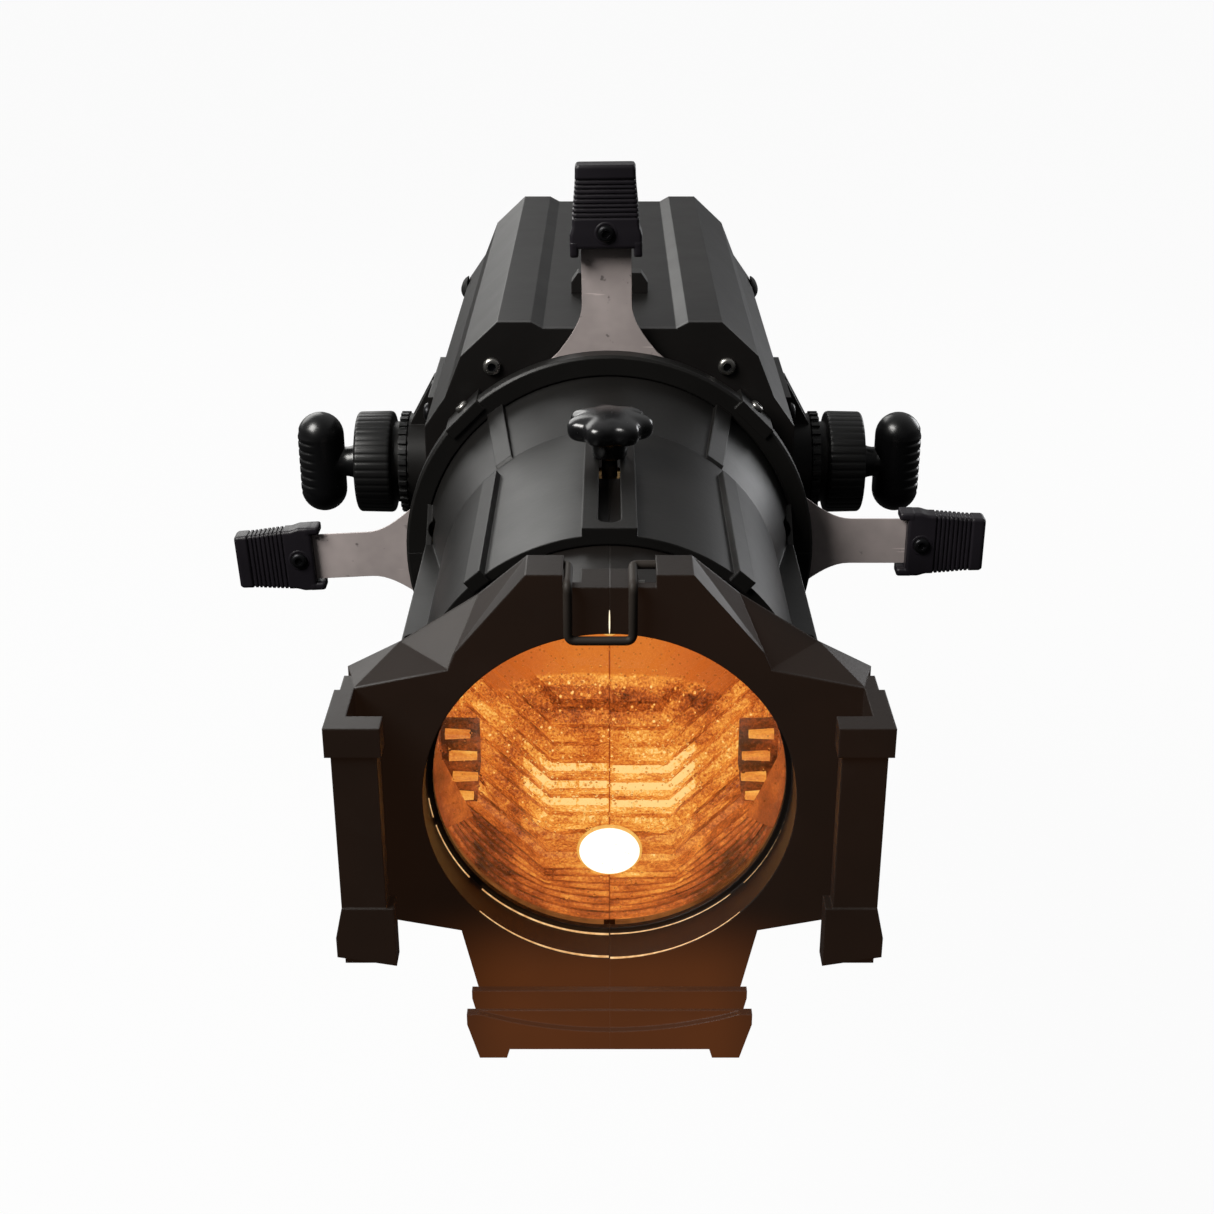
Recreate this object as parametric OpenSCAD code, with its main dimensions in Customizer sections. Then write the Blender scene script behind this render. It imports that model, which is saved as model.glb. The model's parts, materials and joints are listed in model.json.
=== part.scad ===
// Ellipsoidal (profile) spotlight with LED engine, framing shutters and a yoke.
// Millimetres. The optical axis runs along Y and the light leaves towards -Y, +Z is up.
// The origin is the clamp-bolt hole in the yoke's crossbar.
// Inside the modules the origin is on the optical axis, at the accessory holder's front plate.

/* [Lens tube and accessory holder] */
// Radius of the clear opening in the holder's front plate
aperture_r = 61; // [56:0.5:62]
// Outer radius of the sliding lens tube
tube_r = 66.4; // [65:0.1:66.6]
// Length of the lens tube, holder included
tube_len = 172; // [150:1:180]
// Half of the width between the side channels, for a 158.75 mm (6.25 in) gel frame
channel_half = 80.8; // [79.6:0.1:82]
// Depth of the side channels in front of the plate
channel_depth = 19; // [14:0.5:22]

/* [Barrel] */
// Outer radius of the barrel's straight part
barrel_r = 70.6; // [70:0.1:72]
// Distance from the holder's front plate to the barrel's rim
barrel_front = 59.3; // [50:0.1:60]
// Radius of the bevelled ring at the rear of the barrel
ring_r = 88.9; // [86:0.1:90]
// Width of the focus slot
slot_w = 8; // [7:0.5:10]

/* [Shutters] */
// Thickness of a shutter blade
blade_t = 0.8; // [0.5:0.1:0.9]
// Radius at which the open blades' straight edges stop
blade_edge = 42; // [40:0.5:44]
// Radius of the aperture in the gate plate
gate_r = 38; // [30:1:40]

/* [LED housing] */
// Half of the housing's width
housing_half = 80.8; // [79:0.1:82]
// Distance from the holder's front plate to the front plate of the housing
housing_front = 235; // [235:1:236]
// Rear face of the housing's rear panel
housing_rear = 508.6; // [500:0.1:515]
// Wall thickness of the housing shells
shell_t = 2.6; // [2:0.1:3]

/* [Yoke] */
// Distance from the holder's front plate to the tilt axis
pivot_y = 334; // [330:1:340]
// Distance from the tilt axis to the outer face of the crossbar
yoke_reach = 240; // [235:1:270]
// Angle of the yoke below the optical axis, at rest
yoke_lean = 20; // [0:1:40]
// Width of the yoke's flat bar
yoke_w = 40; // [30:1:46]
// Thickness of the yoke's flat bar
yoke_t = 4; // [3:0.5:4]

/* [Hidden] */

round_fn = 96;
seam = 0.05;                      // half of the joint line between two shells
fit = 0.3;                        // free gap between pieces that move past each other
big = 700;                        // larger than the whole object

// lens tube
tube_bore = 62.6;
plate_t = 4;
wing_y = 16;
nut_y = 133;
knob_lobes = 7;
lip_t = 7.2;                      // thickness of the lips in front of the side channels
channel_top = 42;
channel_bottom = -44;
tongue_floor = -78.5;
lens_y = 17.2;
rear_lens_y = 70;
tube_screw_y = 10;
tube_screw_z = 72;
nut_r = 7;
knob_stud_r = 3;
// wire clip that keeps a gel frame in
clip_wire = 1.5;
clip_x = [-12.9, 7.3];
clip_y = 13.5;
clip_z = 78.8;
clip_low = 60;
// barrel
barrel_bore = 67;
cone_y = 171.5;
cone_end = 215.6;
ring_y = 222;
cone_r = 80;
pad_w = 19;
pad_top = 73;
slot_front = 64.5;
slot_rear = 165;
ledge_half = 78.5;
ledge_t = 10.5;
rail_angle = 40.5;
ledge_screw_x = 73.5;
ledge_screws = [82, 104, 204];    // their places along Y
ear_screw_y = 225;
ear_h = 5;
// shutters: one layer each, counted from the front
layer_0 = 224.6;
layer_pitch = 1.8;
handle_y = 227.3;
handle_t = 9.4;
handle_in = 128;
handle_out = 166;
handle_screw_r = 138;             // distance of the handle's screw from the axis
neck_half = 10.5;
neck_end = 148;
blade_half_w = 41;
grip_in_half = 15.1;
grip_out_half = 12.2;
gate_y = 231;
spacer_in = 74;
spacer_out = 83.7;
spacer_half = 8;
// housing section: half outline of the upper half, from the top centre to the side
housing_top_z = 94.8;
housing_outline = [
    [0, housing_top_z], [28.5, housing_top_z], [33.6, 97.6], [48, 97.6], [64, 82.7], [71.4, 64.4],
    [housing_half, 51], [housing_half, 0]
];
panel_t = 3;
shell_y0 = housing_front + plate_t;
shell_y1 = housing_rear - panel_t;
panel_screw = [50.6, 78.3];
m4_hole_r = 2.15;
// inside the housing
led_y = 268.2;
sink_y = 271.4;
sink_len = 104;
sink_half = 58;
fan_z = 42;
fan_half = 40;
fan_t = 20;
fan_y = shell_y1 - fan_t;
display_z = -16;
button_z = -36;
button_pitch = 18;
socket_z = -56;
socket_pitch = 32;
socket_r = 12.5;
// tilt joint, stacked outwards along X
hub_x = 98.6;
washer_x = 99;
arm_x = 103;
disc_x = arm_x + yoke_t;
disc_t = 18;
disc_r = 25.5;
stud_r = 4.9;
stud_bore = 5.25;
grip_x = 143.5;
grip_r = 11.5;
grip_half = 25.5;
clamp_bore_r = 6.5;
bracket_screw = [26, 34];

// ---------- helpers ----------
// From the optical frame to the part's frame
module part_frame()
    translate([0, -pivot_y - yoke_reach * cos(yoke_lean), yoke_reach * sin(yoke_lean)])
        children();

// A profile of [radius, y] turned about the optical axis
module turn_y(fn = round_fn)
    rotate([-90, 0, 0]) rotate_extrude($fn = fn) children();

// An outline of [x, z] between two planes across the optical axis
module slab_y(y0, y1)
    translate([0, y1, 0]) rotate([90, 0, 0]) linear_extrude(y1 - y0) children();

module rod_y(r, y0, y1, fn = 48)
    translate([0, y0, 0]) rotate([-90, 0, 0]) cylinder(r = r, h = y1 - y0, $fn = fn);

module rod_x(r, x0, x1, fn = 48)
    translate([x0, 0, 0]) rotate([0, 90, 0]) cylinder(r = r, h = x1 - x0, $fn = fn);

module rod_z(r, z0, z1, fn = 48)
    translate([0, 0, z0]) cylinder(r = r, h = z1 - z0, $fn = fn);

module both_sides() {
    children();
    mirror([1, 0, 0]) children();
}

// Four places on the diagonals, round the optical axis
module four_diagonals() for (a = [45:90:315]) rotate([0, a, 0]) children();

// The four places of the housing's panel screws
module at_panel_screws() for (x = [-1, 1], z = [-1, 1])
    translate([x * panel_screw[0], 0, z * panel_screw[1]]) children();

module upper_half() intersection() { children(); translate([-big, -big, seam]) cube(2 * big); }
module lower_half() intersection() { children(); translate([-big, -big, -seam - 2 * big])
    cube(2 * big); }
module right_half() intersection() { children(); translate([seam, -big, -big]) cube(2 * big); }
module left_half() intersection() { children(); translate([-seam - 2 * big, -big, -big])
    cube(2 * big); }

function flip_x(p) = [for (i = [len(p) - 1:-1:0]) [-p[i][0], p[i][1]]];
function flip_z(p) = [for (i = [len(p) - 1:-1:0]) [p[i][0], -p[i][1]]];

// A solid between two outlines with the same number of points, at planes y0 and y1
module loft_y(front, rear, y0, y1) {
    n = len(front);
    pts = concat([for (p = front) [p[0], y0, p[1]]], [for (p = rear) [p[0], y1, p[1]]]);
    sides = [for (i = [0:n - 1], half = [0, 1])
        half == 0 ? [i, n + i, (i + 1) % n] : [(i + 1) % n, n + i, n + (i + 1) % n]];
    caps = [[for (i = [0:n - 1]) i], [for (i = [n - 1:-1:0]) n + i]];
    polyhedron(points = pts, faces = concat(sides, caps), convexity = 6);
}

// Pan-head screw along +Z, its head on the plane z = 0
module screw(r, len, head_r, head_h) {
    rod_z(r, -len, 0, 24);
    difference() {
        rod_z(head_r, 0, head_h, 32);
        rod_z(head_r * 0.45, head_h * 0.45, head_h + 1, 6);
    }
}

// ---------- lens tube with the accessory holder ----------
// Front outline of the holder's plate, upper right quarter and tongue
plate_half = [
    [0, 81], [26, 81], [48.5, 54.5], [51, 48.3], [channel_half, channel_top],
    [channel_half, -44], [71, -45.4], [50, -49.6], [45.2, -71.7], [43.5, tongue_floor],
        [0, tongue_floor]
];
// Wing between the plate and the rear edge of the holder
wing_front = [[0, 81], [26, 81], [48.5, 54.5], [51, 48.3], [channel_half, channel_top],
    [channel_half, 20], [0, 20]];
wing_rear = [[0, 81], [26, 81], [41.4, 68.1], [67.6, 51], [85, channel_top], [85, 20], [0, 20]];
wing_wall = 3;
function inset(outline) = [for (p = outline) [p[0] * (1 - wing_wall / 85), p[1] - wing_wall]];

module holder_plate() {
    slab_y(0, plate_t) polygon(concat(plate_half, flip_x(plate_half)));
    both_sides() {
        // hollow wing
        difference() {
            loft_y(wing_front, wing_rear, 1, wing_y);
            loft_y(inset(wing_front), inset(wing_rear), plate_t - 0.6, wing_y + plate_t);
        }
        // rib that closes the wing at its lower side
        translate([68, 0, -20]) cube([channel_half - 68, 10, 3]);
        translate([channel_half - 3, 0, -45.4]) cube([3, 10, 66]);
    }
}

module side_channel() {
    x0 = channel_half;
    x1 = x0 + 4.4;
    h = channel_top - channel_bottom;
    translate([0, 0, channel_bottom]) {
        translate([x0, -channel_depth - lip_t, 0]) cube([x1 - x0, channel_depth + lip_t + 9, h]);
        translate([71, -channel_depth - lip_t, 0]) cube([x1 - 71, lip_t, h]);
    }
    // thicker block round the upper end
    translate([x0, -channel_depth - lip_t - 1, channel_top - 10])
        cube([x1 - x0 + 1.8, channel_depth + lip_t, 10]);
    translate([69.6, -channel_depth - lip_t - 1, channel_top - 10]) cube([x1 - 67.8, lip_t + 1, 10]);
    // flared foot
    slab_y(-channel_depth - lip_t - 0.6, -channel_depth)
        polygon([[68.6, channel_bottom - 0.8], [x1 + 2.4, channel_bottom + 2.6],
            [x1 + 2.4, channel_bottom + 10], [x1, -23], [68.6, -23]]);
    slab_y(-channel_depth, 2)
        polygon([[x0, channel_bottom + 2], [x1 + 2.4, channel_bottom + 2.6],
            [x1 + 2.4, channel_bottom + 10], [x1, -23], [x0, -23]]);
}

// Two-slot rest for gel frames under the opening
module bottom_channel() {
    lip_top = -64.5;
    half_top = 46.8;
    translate([-43.5, -26.2, tongue_floor]) cube([87, 26.3, 3]);
    // lip between the two slots
    slab_y(-13.5, -11)
        polygon([[-46, lip_top], [-46, lip_top - 3], [-43.5, tongue_floor], [43.5, tongue_floor],
            [46, lip_top - 3], [46, lip_top]]);
    // front lip, scooped in the middle
    difference() {
        slab_y(-26.2, -23)
            polygon([[-half_top, lip_top], [-half_top, lip_top - 4], [-43, -82], [-34, -82],
                [-33, tongue_floor],
                     [33, tongue_floor], [34, -82], [43, -82], [half_top, lip_top - 4],
                         [half_top, lip_top]]);
        translate([0, -24.6, 64]) rod_y(135.4, -4, 0.6, 180);
    }
    // gussets at the ends of the floor
    both_sides() translate([40, -26.2, tongue_floor - 3.5]) cube([3, 26.4, 4]);
}

// Stepped eight-sided light trap inside the tube, with a plain web round the rear lens
step_y = 6.5;
trap_y0 = 28;
steps = floor((tube_len - trap_y0) / step_y);
web_y0 = rear_lens_y - 3;
web_y1 = rear_lens_y + 15;
function trap_r(i) = 61.5 - 12.5 * i / steps;
function trap_y(i) = trap_y0 + i * step_y;
module light_trap() {
    for (i = [0:steps - 1]) if (trap_y(i) + step_y < web_y0 || trap_y(i) > web_y1)
        translate([0, trap_y(i), 0]) rotate([-90, 0, 0]) {
            rotate([0, 0, 22.5]) cylinder(r = trap_r(i) / cos(22.5) * 0.985, h = step_y + 0.01,
                $fn = 8);
            cylinder(r = trap_r(i) + 0.6, h = step_y * 0.62, $fn = round_fn);
        }
    rod_y(54, web_y0 - step_y, web_y1 + step_y, round_fn);
}

module tube_body() {
    difference() {
        union() {
            rod_y(tube_r, 0.5, tube_len, round_fn);
            holder_plate();
            both_sides() side_channel();
            bottom_channel();
            // bosses for the screws that join the halves
            for (z = [66.5, -77.5]) translate([-9, plate_t, z]) cube([18, 11, 11]);
        }
        // opening, lens seats and light trap
        rod_y(aperture_r, -1, 15.01, round_fn);
        rod_y(59, 14, lens_y + 1, round_fn);
        rod_y(tube_bore, lens_y, trap_y0 + 0.01, round_fn);
        light_trap();
        rod_y(56.4, rear_lens_y, rear_lens_y + 13, round_fn);
        // recess for the frame clip, on top of the holder
        translate([-14.5, -1, clip_z - 2]) cube([29, 19.5, 10]);
        for (s = [-1, 1]) translate([0, tube_screw_y, s * tube_screw_z]) rod_x(1.7, -20, 20, 24);
        translate([0, nut_y, 0]) rod_z(nut_r + 0.05, 60, 70, 40);
        translate([0, nut_y, 0]) rod_z(knob_stud_r + 0.4, 40, 70, 32);
        // hinge holes of the clip
        translate([0, clip_y, clip_z]) rod_x(1.5, -18, 18, 24);
    }
}

module lens_tube_left() color("#2b2a28") part_frame() left_half() tube_body();
module lens_tube_right() color("#2b2a28") part_frame() right_half() tube_body();

module tube_screws() color("#8d8d8a") part_frame()
    for (s = [-1, 1]) translate([9, tube_screw_y, s * tube_screw_z]) rotate([0, 90, 0])
        screw(1.5, 16, 2.9, 2);

// Plano-convex lens, its flat side to the front at y
module lens(r, rim, crown, y) {
    ball = (r * r + crown * crown) / (2 * crown);
    intersection() {
        rod_y(r, y, y + rim + crown, round_fn);
        translate([0, y + rim + crown - ball, 0]) rotate([90, 0, 0]) sphere(r = ball, $fn = 128);
    }
}

module front_lens() color("#f2e3c8", 0.5) part_frame() lens(62.3, 4.5, 15, lens_y + 0.05);
module rear_lens() color("#f2e3c8", 0.5) part_frame() lens(56.2, 4.5, 12, rear_lens_y + 0.05);

module split_ring(r_out, r_in, y0, y1)
    difference() {
        rod_y(r_out, y0, y1, round_fn);
        rod_y(r_in, y0 - 1, y1 + 1, round_fn);
        translate([-2, y0 - 1, -r_out - 1]) cube([4, y1 - y0 + 2, r_out - r_in + 6]);
    }

module lens_rings() color("#1f1e1d") part_frame() {
    split_ring(62.4, 60.9, lens_y + 5.4, trap_y0 - 0.2);
    split_ring(56.3, 54.6, rear_lens_y + 5.4, rear_lens_y + 12.9);
}

// Star knob with its stud; the outline is a circle with a cosine wave of seven lobes
module focus_knob() color("#0d0d0e") part_frame() translate([0, nut_y, 0]) {
    star_r = 14.6;
    lobe_h = 1.9;
    head_z = pad_top + 7.4;
    translate([0, 0, head_z]) linear_extrude(10.6) polygon([
        for (a = [0:3:357]) (star_r + lobe_h * cos(knob_lobes * a)) * [cos(a), sin(a)]
    ]);
    translate([0, 0, pad_top + fit]) cylinder(r1 = 6.4, r2 = 8, h = 7.4, $fn = 48);
    rod_z(knob_stud_r, 61, pad_top + fit + 1, 32);
}

module focus_nut() color("#a48a4a") part_frame() translate([0, nut_y, 0])
    difference() {
        rod_z(nut_r, 60.2, 65.4, 6);
        rod_z(knob_stud_r + 0.05, 59, 66, 32);
    }

// Wire bail: hinge stubs, two legs, a bend and the crossbar
module frame_clip() color("#151414") part_frame() {
    front = -3;
    for (x = clip_x) translate([x, 0, 0]) {
        translate([0, 0, clip_z]) rod_y(clip_wire, front, clip_y, 20);
        translate([0, front, 0]) rod_z(clip_wire, clip_low, clip_z, 20);
        for (p = [[front, clip_z], [front, clip_low], [clip_y, clip_z]])
            translate([0, p[0], p[1]]) sphere(r = clip_wire, $fn = 20);
    }
    translate([0, front, clip_low]) rod_x(clip_wire, clip_x[0], clip_x[1], 20);
    translate([0, clip_y, clip_z]) {
        rod_x(clip_wire - 0.1, clip_x[0] - 3.4, clip_x[0], 20);
        rod_x(clip_wire - 0.1, clip_x[1], 16.3, 20);
    }
}

// ---------- barrel ----------
module barrel_body() {
    flange_in = 74.5;
    difference() {
        union() {
            turn_y() polygon([
                [barrel_bore, barrel_front], [barrel_r, barrel_front], [barrel_r, cone_y],
                    [cone_r, cone_end],
                [cone_r + 0.5, cone_end - 1.6], [ring_r - 1, cone_end - 1.6],
                    [ring_r, cone_end - 0.6], [ring_r, ring_y],
                [flange_in, ring_y], [flange_in, cone_end], [barrel_bore, cone_y]
            ]);
            // pad round the focus slot
            translate([-pad_w / 2, barrel_front, barrel_bore + 1])
                cube([pad_w, 93, pad_top - barrel_bore - 1]);
            for (a = [-rail_angle, rail_angle, 180 - rail_angle, 180 + rail_angle]) rotate([0, a, 0]) {
                // long rail, its block at the rim, and the short rib on the cone
                translate([-3.7, barrel_front - 1.5, barrel_bore + 1]) cube([7.4, 101, 5.2]);
                rotate([0, a > 90 ? 4 * sign(180 - a) : -4 * sign(a), 0]) translate([-4, 0, 0])
                    rotate([90, 0, 90])
                    linear_extrude(8) polygon([[cone_y - 3, 69], [cone_y, 71.8],
                        [cone_end - 2, 81.6], [cone_end - 2, 77]]);
            }
            // side ledges where the halves meet, with a gusset at the rear end
            both_sides() {
                translate([barrel_bore + 1, barrel_front, -ledge_t])
                    cube([ledge_half - barrel_bore - 1, 156, 2 * ledge_t]);
                for (s = [-1, 1]) scale([1, 1, s]) rotate([90, 0, 90]) translate([0, 0, 76])
                    linear_extrude(2.5) polygon([[196, ledge_t - 1], [214, ledge_t - 1],
                        [214, ledge_t + 12]]);
            }
            // ears on the ring
            four_diagonals() translate([-9.5, 213, spacer_out + fit]) cube([19, 17.4, ear_h]);
        }
        rod_y(barrel_bore, barrel_front - 2, cone_y, round_fn);
        turn_y() polygon([[0, cone_y - 0.01], [barrel_bore, cone_y - 0.01], [flange_in, cone_end],
            [flange_in, ring_y + 1], [0, ring_y + 1]]);
        // focus slot
        translate([-slot_w / 2, slot_front + slot_w / 2, 50])
            cube([slot_w, slot_rear - slot_front - slot_w, 40]);
        for (y = [slot_front + slot_w / 2, slot_rear - slot_w / 2]) translate([0, y, 0])
            rod_z(slot_w / 2, 50, 90, 40);
        // screw holes of the ledges, and of the ears
        for (x = [-ledge_screw_x, ledge_screw_x], y = ledge_screws) translate([x, y, 0]) {
            rod_z(2.1, -20, 20, 24);
            rod_z(4.2, ledge_t - 4, 20, 32);
            rod_z(4.2, -20, -ledge_t + 4, 32);
        }
        four_diagonals() translate([0, ear_screw_y, 0]) rod_z(1.7, 80, 95, 24);
    }
}

module barrel_top() color("#3a3a38") part_frame() upper_half() barrel_body();
module barrel_bottom() color("#333331") part_frame() lower_half() barrel_body();

module barrel_screws() color("#9a9a96") part_frame() {
    for (x = [-ledge_screw_x, ledge_screw_x], y = ledge_screws)
        translate([x, y, ledge_t - 4]) screw(1.9, 2 * ledge_t - 8, 3.6, 2.4);
    four_diagonals() translate([0, ear_screw_y, spacer_out + fit + ear_h]) screw(1.5, 12, 3.2, 1.9);
}

// ---------- gate and shutters ----------
// Angle from the top, layer counted from the front
top_shutter = [-0.6, 3];
right_shutter = [90, 2];
bottom_shutter = [180, 0];
left_shutter = [-93, 1];

module gate_plate() color("#1c1b1a") part_frame()
    difference() {
        rod_y(82, gate_y, housing_front, round_fn);
        rod_y(gate_r, gate_y - 1, housing_front + 1, round_fn);
    }

module shutter_spacers() color("#77756f") part_frame()
    four_diagonals()
        difference() {
            translate([-spacer_half, ring_y, spacer_in])
                cube([2 * spacer_half, gate_y - ring_y, spacer_out - spacer_in]);
            translate([0, ear_screw_y, 0]) rod_z(1.55, 70, 90, 24);
        }

module shutter_separators() color("#8c8984") part_frame()
    for (k = [0:2])
        difference() {
            rod_y(80, layer_0 + (k + 0.5) * layer_pitch - 0.2,
                layer_0 + (k + 0.5) * layer_pitch + 0.2, round_fn);
            rod_y(gate_r + 3, gate_y - 20, gate_y + 1, round_fn);
            four_diagonals() translate([-spacer_half, 200, spacer_in]) cube([2 * spacer_half, 40, 20]);
        }

// Half outline of a blade: straight edge, shoulders, curved flare and neck
flare_z0 = 86;
flare_z1 = 107;
function flare(t) = [neck_half + 10.5 * (1 - cos(t * 90)), flare_z1 - (flare_z1 - flare_z0) * t];
blade_half = concat(
    [[0, blade_edge], [blade_half_w, blade_edge], [blade_half_w, 56], [34, 74]],
    [for (i = [8:-1:0]) flare(i / 8)],
    [[neck_half, neck_end], [0, neck_end]]
);

module blade(shutter) {
    y = layer_0 + shutter[1] * layer_pitch;
    color("#97908a") part_frame() rotate([0, shutter[0], 0])
        difference() {
            slab_y(y - blade_t / 2, y + blade_t / 2) polygon(concat(blade_half, flip_x(blade_half)));
            translate([0, 0, handle_screw_r]) rod_y(m4_hole_r, 200, 250, 24);
        }
}

// Grip with notched edges, slotted for the blade's neck
module blade_handle(shutter) {
    y = layer_0 + shutter[1] * layer_pitch;
    color("#17161a") part_frame() rotate([0, shutter[0], 0])
        difference() {
            slab_y(handle_y - handle_t / 2, handle_y + handle_t / 2)
                polygon([
                    [-grip_in_half + 1.5, handle_in], [grip_in_half - 1.5, handle_in],
                        [grip_in_half, handle_in + 1.5],
                    [grip_in_half, handle_in + 9], [grip_in_half - 1, handle_in + 14],
                        [grip_out_half, handle_out - 2],
                    [grip_out_half - 2, handle_out], [-grip_out_half + 2, handle_out],
                        [-grip_out_half, handle_out - 2],
                    [-grip_in_half + 1, handle_in + 14], [-grip_in_half, handle_in + 9],
                        [-grip_in_half, handle_in + 1.5]
                ]);
            for (i = [0:6]) both_sides()
                translate([grip_out_half + 1.7, handle_y - handle_t / 2 - 1, handle_out - 5 - i * 3])
                    rotate([0, 45, 0]) translate([-0.9, 0, -0.9]) cube([1.8, handle_t + 2, 1.8]);
            // shallow finger hollow in the front face
            translate([-9, handle_y - handle_t / 2 - 1, handle_in + 17]) cube([18, 1.8, 18]);
            translate([-neck_half - 0.1, y - blade_t / 2 - 0.05, handle_in - 1])
                cube([2 * neck_half + 0.2, blade_t + 0.1, 21.2]);
            translate([0, 0, handle_screw_r]) rod_y(m4_hole_r, 200, 250, 24);
        }
}

module handle_screw(shutter)
    color("#2a2a2c") part_frame() rotate([0, shutter[0], 0])
        translate([0, handle_y - handle_t / 2, handle_screw_r])
        rotate([90, 0, 0]) screw(2.1, handle_t, 3.6, 1.6);

module blade_top() blade(top_shutter);
module blade_right() blade(right_shutter);
module blade_bottom() blade(bottom_shutter);
module blade_left() blade(left_shutter);
module blade_handle_top() blade_handle(top_shutter);
module blade_handle_right() blade_handle(right_shutter);
module blade_handle_bottom() blade_handle(bottom_shutter);
module blade_handle_left() blade_handle(left_shutter);
module handle_screw_top() handle_screw(top_shutter);
module handle_screw_right() handle_screw(right_shutter);
module handle_screw_bottom() handle_screw(bottom_shutter);
module handle_screw_left() handle_screw(left_shutter);

// ---------- LED housing ----------
housing_loop = concat(housing_outline,
    flip_z([for (i = [0:len(housing_outline) - 2]) housing_outline[i]]));
module housing_face() polygon(concat(housing_loop, flip_x(housing_loop)));
module housing_bore_face() scale([1 - shell_t / housing_half, 1 - shell_t / housing_top_z])
    housing_face();

// Posts for the panel screws, each with a web up to the wall
module screw_posts(y0, y1)
    difference() {
        intersection() {
            slab_y(y0, y1) housing_face();
            for (x = [-1, 1], z = [-1, 1]) translate([x * panel_screw[0], 0, z * panel_screw[1]]) {
                rod_y(4.6, y0, y1, 32);
                translate([-2, y0, z > 0 ? 0 : -20]) cube([4, y1 - y0, 20]);
            }
        }
        at_panel_screws() rod_y(m4_hole_r, y0 - 1, y1 + 1, 24);
    }

module housing_shell() {
    vent_w = 5;
    post = 13;
    difference() {
        slab_y(shell_y0, shell_y1) housing_face();
        slab_y(shell_y0 - 1, shell_y1 + 1) housing_bore_face();
        // cooling slots low on both sides
        both_sides() for (i = [0:8]) translate([60, 385 + i * 2.2 * vent_w, -40])
            cube([40, vent_w, 26]);
    }
    screw_posts(shell_y0, shell_y0 + post);
    screw_posts(shell_y1 - post, shell_y1);
}

module housing_top() color("#3d3d3b") part_frame() upper_half() housing_shell();
module housing_bottom() color("#363634") part_frame() lower_half() housing_shell();

module front_plate() color("#1a1715") part_frame()
    difference() {
        slab_y(housing_front, shell_y0) housing_face();
        rod_y(46, housing_front - 1, shell_y0 + 1, round_fn);
        at_panel_screws() rod_y(m4_hole_r, housing_front - 1, shell_y0 + 1, 24);
    }

// Screws of the front plate, and of the rear panel
module panel_screws() color("#a5a29c") part_frame()
    at_panel_screws() {
        translate([0, housing_front, 0]) rotate([90, 0, 0]) screw(2.1, 12, 3.9, 2.2);
        translate([0, housing_rear, 0]) rotate([-90, 0, 0]) screw(2.1, 12, 3.9, 2.2);
    }

function button_x(i) = (i - 1.5) * button_pitch;
function socket_x(i) = (i - 1.5) * socket_pitch;

module rear_panel() color("#2c2c2a") part_frame()
    difference() {
        slab_y(shell_y1, housing_rear) housing_face();
        translate([0, 0, fan_z]) rod_y(fan_half - 4, shell_y1 - 1, housing_rear + 1, round_fn);
        translate([-28, shell_y1 - 1, display_z - 9]) cube([56, panel_t + 2, 18]);
        for (i = [0:3]) {
            translate([button_x(i), 0, button_z]) rod_y(4.8, shell_y1 - 1, housing_rear + 1, 32);
            translate([socket_x(i), 0, socket_z]) rod_y(socket_r, shell_y1 - 1, housing_rear + 1, 48);
        }
        at_panel_screws() rod_y(m4_hole_r, shell_y1 - 1, housing_rear + 1, 24);
    }

module rear_bumpers() color("#141414") part_frame()
    for (x = [-1, 1], z = [-1, 1])
        intersection() {
            hull() for (y = [492, 500]) translate([x * 78.4, y, z * 48]) sphere(r = 6.4, $fn = 28);
            translate([x > 0 ? housing_half : -big - housing_half, 480, z > 0 ? 36 : -60])
                cube([big, 24, 24]);
        }

module fan_guard() color("#1b1b1b") part_frame() translate([0, 0, fan_z]) {
    for (r = [12, 20, 28, 36]) difference() {
        rod_y(r + 1, housing_rear + 0.8, housing_rear + 2.6, round_fn);
        rod_y(r - 1, housing_rear - 1, housing_rear + 4, round_fn);
    }
    for (a = [0, 90]) rotate([0, a + 45, 0]) translate([-fan_half - 4, housing_rear, -2])
        cube([2 * fan_half + 8, 0.8, 4]);
    rod_y(8, housing_rear, housing_rear + 2.6, 48);
}

module fan_frame() color("#101010") part_frame() translate([0, 0, fan_z])
    difference() {
        translate([-fan_half, fan_y, -fan_half]) cube([2 * fan_half, fan_t, 2 * fan_half]);
        rod_y(fan_half - 3, fan_y + 3, fan_y + fan_t + 1, round_fn);
        difference() {
            rod_y(fan_half - 3, fan_y - 1, fan_y + 4, round_fn);
            rod_y(14, fan_y - 1, fan_y + 4, 48);
            for (a = [0:60:120]) rotate([0, a, 0]) translate([-fan_half, fan_y, -1.5])
                cube([2 * fan_half, 3, 3]);
        }
        rod_y(2.05, fan_y - 1, fan_y + 5, 24);
    }

module fan_rotor() color("#262626") part_frame() translate([0, 0, fan_z]) {
    rod_y(13, fan_y + 3.4, fan_y + 18, 48);
    rod_y(2, fan_y + 0.4, fan_y + 4, 24);
    for (i = [0:6]) rotate([0, i * 360 / 7, 0]) translate([0, fan_y + 11, 0])
        rotate([0, 0, 32]) translate([-9, -0.8, 12]) cube([18, 1.6, 23.4]);
}

module led_module() color("#d9d2b8") part_frame() {
    translate([-30, led_y, -30]) cube([60, 3, 60]);
    rod_y(16, led_y - 1.2, led_y, 48);
}

module heat_sink() color("#a8abad") part_frame() {
    fins = 15;
    translate([-sink_half, sink_y - 0.2, -sink_half]) cube([2 * sink_half, 8, 2 * sink_half]);
    for (i = [0:fins - 1])
        translate([-sink_half + i * (2 * sink_half - 2) / (fins - 1), sink_y, -sink_half])
            cube([2, sink_len, 2 * sink_half]);
}

module condenser_lens() color("#e8e8e8", 0.5) part_frame() lens(43.8, 3.5, 12, 243);

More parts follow.
